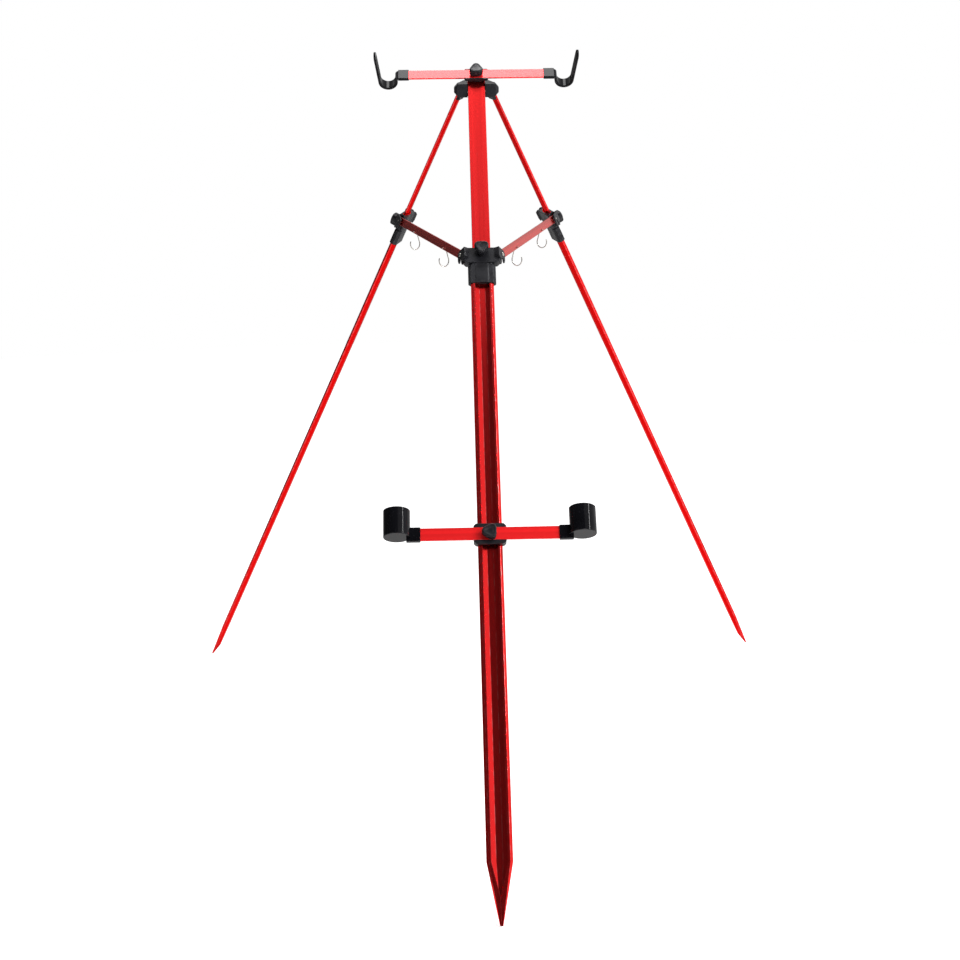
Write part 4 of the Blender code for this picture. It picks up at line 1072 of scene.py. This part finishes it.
@dataclass
class Spreader:
    """A flat stretcher with its headed pin, its catch and its two wire hooks.

    The turns are in degrees. The wire's stub runs through shares of its length and of the wire's radius.
    """

    name: str
    side: int
    width: float = 0.0150
    thickness: float = 0.0030
    ease: float = 0.0004
    end_steps: int = 24
    pin_radius: float = 0.0020
    pin_sides: int = 32
    head_radius: float = 0.0034
    head_height: float = 0.0012
    head_rim: float = 0.35
    head_steps: int = 6
    pin_seat: float = 0.0020
    catch_edge: float = 0.0003
    hole_radius: float = 0.0018
    hook_places: Point = (0.26, 0.735)
    hole_drop: float = 0.0043
    fork_x: float = 0.0340
    fork_y: float = -0.0060
    fork_drop: float = 0.0100
    fork_plate: float = 0.0024
    front_play: float = 0.0004
    rear_play: float = 0.0022
    wire_radius: float = 0.0009
    wire_sides: int = 20
    loop_half_width: float = 0.0095
    loop_half_height: float = 0.0108
    loop_drop: float = 0.0220
    loop_shift: float = -0.0012
    loop_turn: Point = (25.0, -205.0)
    loop_steps: int = 56
    stub: float = 0.0042
    stub_path: tuple[Point, ...] = ((1.0, 1.0), (0.8, 0.35), (0.6, 0.0))
    sag: float = 0.0001
    bend_start: float = 0.0014
    bend_turn: Point = (90.0, 20.0)
    bend_steps: int = 10
    smooth: float = 60.0

    def rounded(self, length: float, radius: float) -> Outline:
        """Returns the outline of a bar with round ends."""
        return (arc((length, 0.0), radius, -90.0, 90.0, self.end_steps)
                + arc((0.0, 0.0), radius, 90.0, 270.0, self.end_steps))

    def plate(self, length: float) -> Mesh:
        """Returns the flat bar with round ends, eased edges and its four holes."""
        outer = self.rounded(length, self.width / 2)
        inner = self.rounded(length, self.width / 2 - self.ease)
        half = self.thickness / 2
        plate = stack([(inner, -half), (outer, -half + self.ease), (outer, half - self.ease), (inner, half)])
        holes = [(x, 0.0, self.pin_radius + SEAT_GAP) for x in (0.0, length)]
        holes += [(length * share, self.hole_drop, self.hole_radius) for share in self.hook_places]
        return combine(plate, [prism(circle(radius, self.pin_sides, (x, y)), -CUT_MARGIN, CUT_MARGIN)
                               for x, y, radius in holes])

    def pin(self, outer: int) -> Mesh:
        """Returns the pin with a domed head on its outer side."""
        inner = self.thickness / 2 + self.front_play + self.pin_seat
        seat = self.thickness / 2 + self.front_play + self.fork_plate + SEAT_GAP
        levels = [(self.pin_radius, -inner), (self.pin_radius, seat), (self.head_radius, seat)]
        levels += [(self.head_radius * x, seat + self.head_height * (self.head_rim + (1 - self.head_rim) * y))
                   for x, y in quarter(self.head_steps)[:-1]]
        return turned([(radius, level * outer) for radius, level in levels], self.pin_sides)

    def wire_path(self) -> Ring:
        """Returns the wire's middle line, hung through a hole at the origin, in the XZ plane."""
        bend = self.wire_radius * 2
        path = [(-self.stub * out, self.wire_radius * up - self.sag) for out, up in self.stub_path]
        path += arc((self.bend_start, -self.sag - bend), bend, *self.bend_turn, self.bend_steps)
        stretch = self.loop_half_width / self.loop_half_height
        loop = arc((0.0, -self.loop_drop), self.loop_half_height, *self.loop_turn, self.loop_steps)
        path += [(self.loop_shift + x * stretch, z) for x, z in loop]
        return [(x, 0.0, z) for x, z in path]

    def build(self, maker: Maker, wire: NodeTree) -> None:
        """Builds and dresses the stretcher and what it carries.

        Args:
            maker: what finishes the pieces.
            wire: the tree that makes bent wire.
        """
        name = self.name
        body = name + "_stretcher"
        swing = joint(body + "_swing")
        front_pin = Vector(swing["pos_m"])
        drop = REAR_LENGTH - LOWER_LENGTH + self.fork_drop
        reach = leg_frame(name) @ Vector((-self.side * self.fork_x, self.fork_y, -drop)) - front_pin
        along = reach.normalized()
        normal = Vector(swing["axis"])
        if normal.dot(reach.cross(leg_frame("front").to_3x3() @ -UP)) < 0:
            normal = -normal
        place = Matrix.Translation(front_pin) @ axes(along, normal.cross(along).normalized(), normal)
        end = place @ Matrix.Translation((reach.length, 0, 0))
        catch_half = self.thickness / 2 + self.rear_play + self.fork_plate
        catch = prism(circle(self.pin_radius, self.pin_sides), -catch_half, catch_half, edge=self.catch_edge)
        maker.piece(name + "_flat_bar", self.plate(reach.length), place, BRUSHED_RED, body, body, along=0)
        maker.piece(name + "_domed_pin", self.pin(-self.side), place, STEEL, "front_upper", body + "_pin")
        maker.piece(name + "_catch_pin", catch, end, STEEL, body, body + "_catch")
        values = {"Wire radius": self.wire_radius, "Sides": self.wire_sides,
                  "Finish": maker.palette.of(STEEL)}
        for order in ("front", "rear"):
            hinge = joint(f"{name}_{order}_hook_swing")
            level = Vector((hinge["axis"][0], hinge["axis"][1], 0.0)).normalized() * -self.side
            hang = Matrix.Translation(hinge["pos_m"]) @ axes(level, UP.cross(level), UP)
            mesh = run_tree(path_curve(self.wire_path()), wire, values)
            node = f"{name}_{order}_wire_hook"
            maker.piece(f"{name}_{order}_bait_hook", mesh, hang, STEEL, node, node, smooth=self.smooth)


@dataclass
class Crossbar:
    """What both crossbars share: the flat bar, its seat and the sockets on its ends."""

    bar_width: float = 0.0215
    bar_thickness: float = 0.0030
    bar_corner: float = 0.0005
    floor: float = 0.0024
    corner: float = 0.0040
    lip_share: float = 0.8
    face_corner: float = 0.0012
    face_edge: float = 0.0006
    socket_corner: float = 0.0012
    socket_edge: float = 0.0005
    corner_steps: int = 4

    def bar(self, half_length: float, height: float) -> Mesh:
        """Returns the flat crossbar along X, with the middle of its thickness at a height."""
        section = self.section(height, self.bar_width, self.bar_thickness)
        return prism(filleted(section, self.bar_corner), -half_length, half_length, "X")

    def section(self, height: float, width: float, thickness: float) -> Outline:
        """Returns the (y, z) corners of a bar at a height above the leg."""
        corners = rectangle(-width / 2, -height - thickness / 2, width / 2, -height + thickness / 2)
        return [(y, z) for z, y in corners]

    def pocket(self, height: float, start: float, end: float) -> Mesh:
        """Returns the cutter that lets the bar's end into a socket, from start to end on X."""
        section = self.section(height, self.bar_width + SEAT_GAP * 2, self.bar_thickness + SEAT_GAP * 2)
        return prism(section, start - CUT_MARGIN, end + SEAT_GAP, "X")

    def socket(self, section: Outline, start: float, end: float) -> Mesh:
        """Returns a rounded socket without its pocket, from start to end on X."""
        rounded = filleted(section, self.socket_corner, self.corner_steps)
        return prism(rounded, start, end, "X", edge=self.socket_edge)

    def cradle(self, half_width: float, lip: float, lower: float, back: float, height: float) -> Mesh:
        """Makes the bar's seat with a lip above and below the bar.

        Args:
            half_width: half its width.
            lip: how far its lips stand past the bar.
            lower: how much its lower corners are cut.
            back: where its back is on Y.
            height: the height of the bar.

        Returns:
            The seat.
        """
        inside = self.bar_width / 2 + SEAT_GAP
        half = inside + lip
        front = -height - self.bar_thickness / 2
        corner = min(self.corner, lip * self.lip_share)
        face = mirrored([(half_width - lower, -half), (half_width, lower - half), (half_width, half - corner),
                         (half_width - corner, half)])
        face = filleted(face, self.face_corner, self.corner_steps)
        solid = prism(face, front, back, "Y", edge=self.face_edge)
        slot = block((-half_width * 2, front - CUT_MARGIN, -inside),
                     (half_width * 2, -height + self.bar_thickness / 2 + SEAT_GAP, inside))
        return combine(solid, [slot])


@dataclass
class TopBar(Crossbar):
    """The upper crossbar with its wedge, its saddle and its two rod hooks."""

    rise: float = 0.0230
    tip_back: float = math.radians(10.0)
    half_length: float = 0.1410
    saddle_half: float = 0.0220
    saddle_lip: float = 0.0024
    wedge_thin: float = 0.0010
    wedge_half_height: float = 0.0100
    strap_width: float = 0.0200
    strap_thickness: float = 0.0046
    strap_edge: float = 0.0013
    strap_thin: float = 0.55
    strap_steps: int = 5
    hook_centre: float = 0.1633
    hook_radius: float = 0.0157
    hook_bend: float = 0.0040
    hook_depth: float = 0.0290
    hook_arm: float = 0.0777
    hook_lean: float = math.radians(6.5)
    end_turn: float = math.radians(78.0)
    bend_steps: int = 12
    arc_steps: int = 48
    arm_steps: int = 3
    end_steps: int = 12
    socket_start: float = 0.1248
    socket_end: float = 0.1445
    socket_width: float = 0.0236
    socket_thickness: float = 0.0062
    smooth: float = 40.0

    @property
    def wedge_front(self) -> float:
        """How far the wedge's front stands out."""
        return SEAT_GAP + math.tan(self.tip_back) * self.wedge_half_height + self.wedge_thin

    @property
    def height(self) -> float:
        """The middle of the bar's thickness above the leg's face."""
        return self.wedge_front + self.floor + self.bar_thickness / 2 + SEAT_GAP * 2

    def strap_section(self, share: float) -> Outline:
        """Returns the strap's rounded section at a share of its width."""
        half = self.strap_width * share / 2
        deep = self.strap_thickness * (self.strap_thin + (1 - self.strap_thin) * share) / 2
        return filleted(rectangle(-deep, -half, deep, half), self.strap_edge, self.strap_steps)

    def strap(self) -> Mesh:
        """Returns the hook's bent strap, in the XZ plane, with its rounded tip up."""
        bottom = self.height + self.socket_thickness / 2 - self.hook_depth + self.strap_thickness / 2
        riser = self.hook_centre - self.hook_radius
        path = [(riser - self.hook_bend * 2, self.height)]
        path += arc((riser - self.hook_bend, self.height - self.hook_bend), self.hook_bend, 90, 0,
                    self.bend_steps)
        path += arc((self.hook_centre, bottom + self.hook_radius), self.hook_radius, 180,
                    360 - math.degrees(self.hook_lean), self.arc_steps)
        shares = [1.0] * len(path)
        start = path[-1]
        lean = (math.sin(self.hook_lean), math.cos(self.hook_lean))
        length = (bottom - self.strap_thickness / 2 + self.hook_arm - start[1]) / lean[1]
        round_end = self.strap_width / 2
        tail = [((length - round_end) * (i + 1) / self.arm_steps, 1.0) for i in range(self.arm_steps)]
        for turn in (self.end_turn * (i + 1) / self.end_steps for i in range(self.end_steps)):
            tail.append((length - round_end + round_end * math.sin(turn), math.cos(turn)))
        for reach, share in tail:
            path.append((start[0] + lean[0] * reach, start[1] + lean[1] * reach))
            shares.append(share)
        return sweep(path, [self.strap_section(share) for share in shares])

    def hook(self, side: int) -> Mesh:
        """Returns one rod hook with its socket, standing out along -Y."""
        section = self.section(self.height, self.socket_width, self.socket_thickness)
        socket = self.socket(section, self.socket_start, self.socket_end)
        strap = moved(self.strap(), Matrix.Rotation(math.pi / 2, 4, "X"))
        pocket = self.pocket(self.height, self.socket_start, self.half_length)
        hook = combine(combine(socket, [strap], "UNION"), [pocket])
        return moved(hook, Matrix.Scale(side, 4, ACROSS))

    def build(self, maker: Maker) -> None:
        """Builds and dresses the upper crossbar."""
        axis = leg_frame("front") @ Matrix.Translation((0, Profile().upper_front, self.rise))
        axis = axis @ Matrix.Rotation(-self.tip_back, 4, "X")
        saddle = self.cradle(self.saddle_half, self.saddle_lip, self.saddle_lip, -self.wedge_front - SEAT_GAP,
                             self.height)
        maker.piece("top_flat_bar", self.bar(self.half_length, self.height), axis, FLAT_RED, "top_bar",
                    "top_crossbar", along=0)
        maker.piece("top_bar_seat", saddle, axis, BLOCK_BLACK, "top_bar", "top_saddle")
        for name, side in SIDES.items():
            maker.piece(name + "_rod_cradle", self.hook(side), axis, GLOSS_BLACK, "top_bar",
                        name + "_rod_hook", smooth=self.smooth)
        maker.dress(BLOCK_BLACK, "top_wedge")
        maker.dress(STEEL, "top_stud", "top_nut")


@dataclass
class LowBar(Crossbar):
    """The lower crossbar on its carriage, with its two butt cups."""

    drop: float = 0.8905
    half_length: float = 0.1250
    saddle_half: float = 0.0265
    saddle_lip: float = 0.0065
    wrap: float = 0.0075
    cup_centre: float = 0.1500
    cup_radius: float = 0.02175
    cup_wall: float = 0.0022
    cup_floor: float = 0.0030
    cup_height: float = 0.0460
    cup_offset: float = 0.0063
    cup_drop: float = 0.0065
    foot_edge: float = 0.0012
    foot_steps: int = 6
    rim_edge: float = 0.0007
    rim_steps: int = 5
    bowl_corner: float = 0.0015
    bowl_bevel: float = 0.0004
    bowl_flare: float = 0.0006
    bowl_lip: float = 0.0001
    socket_start: float = 0.1120
    socket_into: float = 0.7
    socket_width: float = 0.0240
    socket_thickness: float = 0.0080
    sides: int = 96

    @property
    def height(self) -> float:
        """The middle of the bar's thickness above the leg's lips."""
        return SLIDE_GAP + self.floor + self.bar_thickness / 2 + SEAT_GAP

    def cup(self, side: int) -> Mesh:
        """Returns one butt cup with its socket, its mouth up the leg."""
        axis = (self.cup_centre, -(self.height + self.cup_offset))
        low = -self.cup_drop
        rim = low + self.cup_height
        base = low + self.cup_floor
        foot = self.cup_radius - self.foot_edge
        brim = self.cup_radius - self.rim_edge
        outside = [(foot + self.foot_edge * y, low + self.foot_edge * (1 - x))
                   for x, y in quarter(self.foot_steps)]
        outside += [(brim + self.rim_edge * x, rim + self.rim_edge * (y - 1))
                    for x, y in quarter(self.rim_steps)]
        bore = self.cup_radius - self.cup_wall
        inside = [(bore - self.bowl_corner, base), (bore - self.bowl_bevel, base + self.bowl_bevel),
                  (bore, base + self.bowl_corner), (bore, rim - self.bowl_flare),
                  (bore + self.bowl_flare, rim + self.bowl_lip), (bore + self.bowl_flare, rim + CUT_MARGIN)]
        section = self.section(self.height, self.socket_width, self.socket_thickness)
        socket = self.socket(section, self.socket_start, self.cup_centre - self.cup_radius * self.socket_into)
        pocket = self.pocket(self.height, self.socket_start, self.half_length)
        cup = combine(turned(outside, self.sides, axis), [socket], "UNION")
        cup = combine(cup, [pocket, turned(inside, self.sides, axis)])
        return moved(cup, Matrix.Scale(side, 4, ACROSS))

    def saddle(self) -> Mesh:
        """Returns the carriage's seat with cheeks round the lower leg."""
        profile = Profile()
        seat = self.cradle(self.saddle_half, self.saddle_lip, self.corner, self.wrap, self.height)
        channel = [(x, y - profile.lip_front) for x, y in profile.lower_outline(SLIDE_GAP)]
        return combine(seat, [prism(channel, -self.bar_width * 2, self.bar_width * 2)])

    def build(self, maker: Maker) -> None:
        """Builds and dresses the lower crossbar."""
        axis = leg_frame("front") @ Matrix.Translation((0, Profile().lip_front, -self.drop))
        maker.piece("low_flat_bar", self.bar(self.half_length, self.height), axis, FLAT_RED, "carriage",
                    "low_crossbar", along=0)
        maker.piece("low_bar_seat", self.saddle(), axis, BLOCK_BLACK, "carriage", "low_saddle")
        for name, side in SIDES.items():
            maker.piece(name + "_rod_butt_cup", self.cup(side), axis, GLOSS_BLACK, "carriage",
                        name + "_butt_cup")
        maker.dress(STEEL, "low_stud", "low_slide_nut")


# ---- Studio


@dataclass(frozen=True)
class Lamp:
    """A rectangular area lamp, whose height runs along its lean."""

    name: str
    place: Triple
    size: Point
    power: float
    aim: Triple
    mirrored_in: bool
    lean: Triple

    def hang(self) -> None:
        """Hangs the lamp where the camera doesn't see it."""
        data = bpy.data.lights.new(self.name, "AREA")
        data.shape = "RECTANGLE"
        data.size, data.size_y = self.size
        data.energy = self.power
        item = link(self.name, data)
        back = (Vector(self.place) - Vector(self.aim)).normalized()
        side = Vector(self.lean).cross(back).normalized()
        item.matrix_world = Matrix.Translation(self.place) @ axes(side, back.cross(side), back)
        item.visible_camera = False
        item.visible_glossy = self.mirrored_in


LAMPS = (Lamp("key", (2.3, -2.3, 2.7), (1.6, 2.0), 165.0, (0.0, 0.0, 0.65), False, (0.0, 0.0, 1.0)),
         Lamp("overhead", (0.0, 0.41, 3.65), (1.1, 1.1), 42.0, (0.0, 0.24, 1.25), True, (0.0, 1.0, 0.0)),
         Lamp("strip", (2.25, -0.95, 2.35), (0.13, 1.5), 34.0, (0.0, -0.35, 0.55), True, (0.0, 0.577, 0.817)))


@dataclass
class Studio:
    """The floor, the soft light and the camera."""

    position: Triple = (-0.06435, -2.64380, 1.07287)
    forward: Triple = (0.02071, 0.97919, -0.2019)
    right: Triple = (0.9996, -0.0246, -0.0141)
    lens: float = 56.085
    sensor: float = 36.0
    clip_end: float = 60.0
    room: Point = (0.08, 0.48)
    room_span: Point = (-0.8, 0.5)
    screen_centre: Triple = (0.0, 0.0, 0.7)
    screen_distance: float = 12.0
    screen_tone: float = 0.22
    screen_right: float = 0.20
    screen_top: float = 0.917
    screen_gap: Point = (0.10, 0.36)
    screen_step: float = math.radians(2.0)
    screen_rows: tuple[int, int] = (-3, 36)
    floor_radius: float = 7.0
    floor_sides: int = 96
    floor_levels: Point = (-0.012, -0.002)
    floor_tone: float = 0.90
    floor_span: Point = (1.5, 4.0)
    floor_glow: Point = (0.55, 0.85)
    matte: float = 0.9

    def camera(self) -> None:
        """Sets the camera to the photographed angle."""
        data = bpy.data.cameras.new("view")
        data.lens = self.lens
        data.sensor_width = self.sensor
        data.sensor_fit = "HORIZONTAL"
        data.clip_end = self.clip_end
        back = -Vector(self.forward).normalized()
        up = back.cross(Vector(self.right)).normalized()
        item = link("view", data)
        item.matrix_world = Matrix.Translation(self.position) @ axes(up.cross(back).normalized(), up, back)
        bpy.context.scene.camera = item

    def world(self) -> None:
        """Makes a room that is dimmer on the left, and white to the camera and in reflections."""
        world = bpy.data.worlds.new("room")
        bpy.context.scene.world = world
        world.use_nodes = True
        tree = world.node_tree
        tree.nodes.clear()
        paths = add_node(tree, "ShaderNodeLightPath")
        way = add_node(tree, "ShaderNodeTexCoord").outputs["Generated"]
        along = add_node(tree, "ShaderNodeSeparateXYZ", {0: way}).outputs["X"]
        strength = ranged(tree, along, self.room_span, self.room)
        for ray in ("Is Camera Ray", "Is Glossy Ray", "Is Transmission Ray"):
            strength = calc(tree, "MAXIMUM", strength, paths.outputs[ray])
        back = add_node(tree, "ShaderNodeBackground", {"Color": (1.0, 1.0, 1.0, 1.0), "Strength": strength})
        add_node(tree, "ShaderNodeOutputWorld", {"Surface": back.outputs[0]})

    def staged(self, name: str, mesh: Mesh, tone: float) -> tuple[Object, NodeTree, Node]:
        """Adds a matte grey thing that isn't part of the tripod.

        Args:
            name: its name.
            mesh: its mesh.
            tone: how pale it is.

        Returns:
            The object, its material's tree and its shader.
        """
        item = link(name, mesh)
        material = bpy.data.materials.new("matte_" + name)
        material.use_nodes = True
        shader = material.node_tree.nodes["Principled BSDF"]
        shader.inputs["Base Color"].default_value = (tone, tone, tone, 1.0)
        shader.inputs["Roughness"].default_value = self.matte
        shader.inputs["Specular IOR Level"].default_value = 0.0
        mesh.materials.append(material)
        return item, material.node_tree, shader

    def screen(self) -> None:
        """Hangs a far dark screen on the left, which only reflections show."""
        points, faces = [], []
        for turn in range(round(2 * math.pi / self.screen_step)):
            for rise in range(*self.screen_rows):
                ways = []
                for i, j in rectangle(turn, rise, turn + 1, rise + 1):
                    across, up = i * self.screen_step, j * self.screen_step
                    ways.append(Vector((math.cos(up) * math.cos(across), math.cos(up) * math.sin(across),
                                        math.sin(up))))
                middle = sum(ways, Vector()) / len(ways)
                behind = middle.y > self.screen_gap[0] and middle.z > self.screen_gap[1]
                if middle.x > self.screen_right or middle.z > self.screen_top or behind:
                    continue
                faces.append(tuple(range(len(points), len(points) + len(ways))))
                points += [Vector(self.screen_centre) + way * self.screen_distance for way in ways]
        mesh = bpy.data.meshes.new("screen")
        mesh.from_pydata(points, [], faces)
        item = self.staged("screen", mesh, self.screen_tone)[0]
        item.visible_camera = item.visible_diffuse = item.visible_shadow = False
        item.visible_transmission = item.visible_volume_scatter = False

    def floor(self) -> None:
        """Adds the pale floor, which keeps the tripod's shadow."""
        mesh = prism(circle(self.floor_radius, self.floor_sides), *self.floor_levels)
        _, tree, shader = self.staged("floor", mesh, self.floor_tone)
        place = add_node(tree, "ShaderNodeTexCoord").outputs["Object"]
        reach = add_node(tree, "ShaderNodeVectorMath", {0: place}, operation="LENGTH").outputs["Value"]
        seen = add_node(tree, "ShaderNodeLightPath").outputs["Is Camera Ray"]
        glow = calc(tree, "MULTIPLY", seen, ranged(tree, reach, self.floor_span, self.floor_glow))
        shader.inputs["Emission Color"].default_value = (1.0, 1.0, 1.0, 1.0)
        tree.links.new(glow, shader.inputs["Emission Strength"])

    def build(self) -> None:
        """Sets up the whole studio."""
        bpy.context.scene.view_settings.view_transform = "Standard"
        self.camera()
        self.world()
        for lamp in LAMPS:
            lamp.hang()
        self.screen()
        self.floor()


def main() -> None:
    """Builds the tripod's pieces in order, then the studio."""
    logging.basicConfig(level=logging.INFO, format="%(message)s")
    maker = Maker(Palette())
    ribs = rib_tree()
    wire = wire_tree()
    Leg("front", FRONT_LENGTH, head=0.0400, sleeve_height=0.0368).build(maker, ribs)
    for name in SIDES:
        Leg(name, REAR_LENGTH, head=0.0070, sleeve_height=0.0300).build(maker, ribs)
    maker.dress(BLOCK_BLACK, "hub_body")
    for name, side in SIDES.items():
        Spreader(name, side).build(maker, wire)
    TopBar().build(maker)
    LowBar().build(maker)
    for name in ("front", *SIDES):
        knob = Knob(name + "_grip", name + "_clamp_knob", name + "_knob_turn", name + "_clamp_screw",
                    -math.pi / 2)
        knob.build(maker, leg_frame(name).to_3x3() @ ACROSS)
    for name, phase in (("top", math.pi / 2), ("low", math.pi)):
        knob = Knob(name + "_grip", name + "_knob", name + "_knob_turn", name + "_knob", phase)
        knob.build(maker, ACROSS)
    Studio().build()
    LOG.info("%d pieces made", len(maker.pieces))


if __name__ == "__main__":
    main()
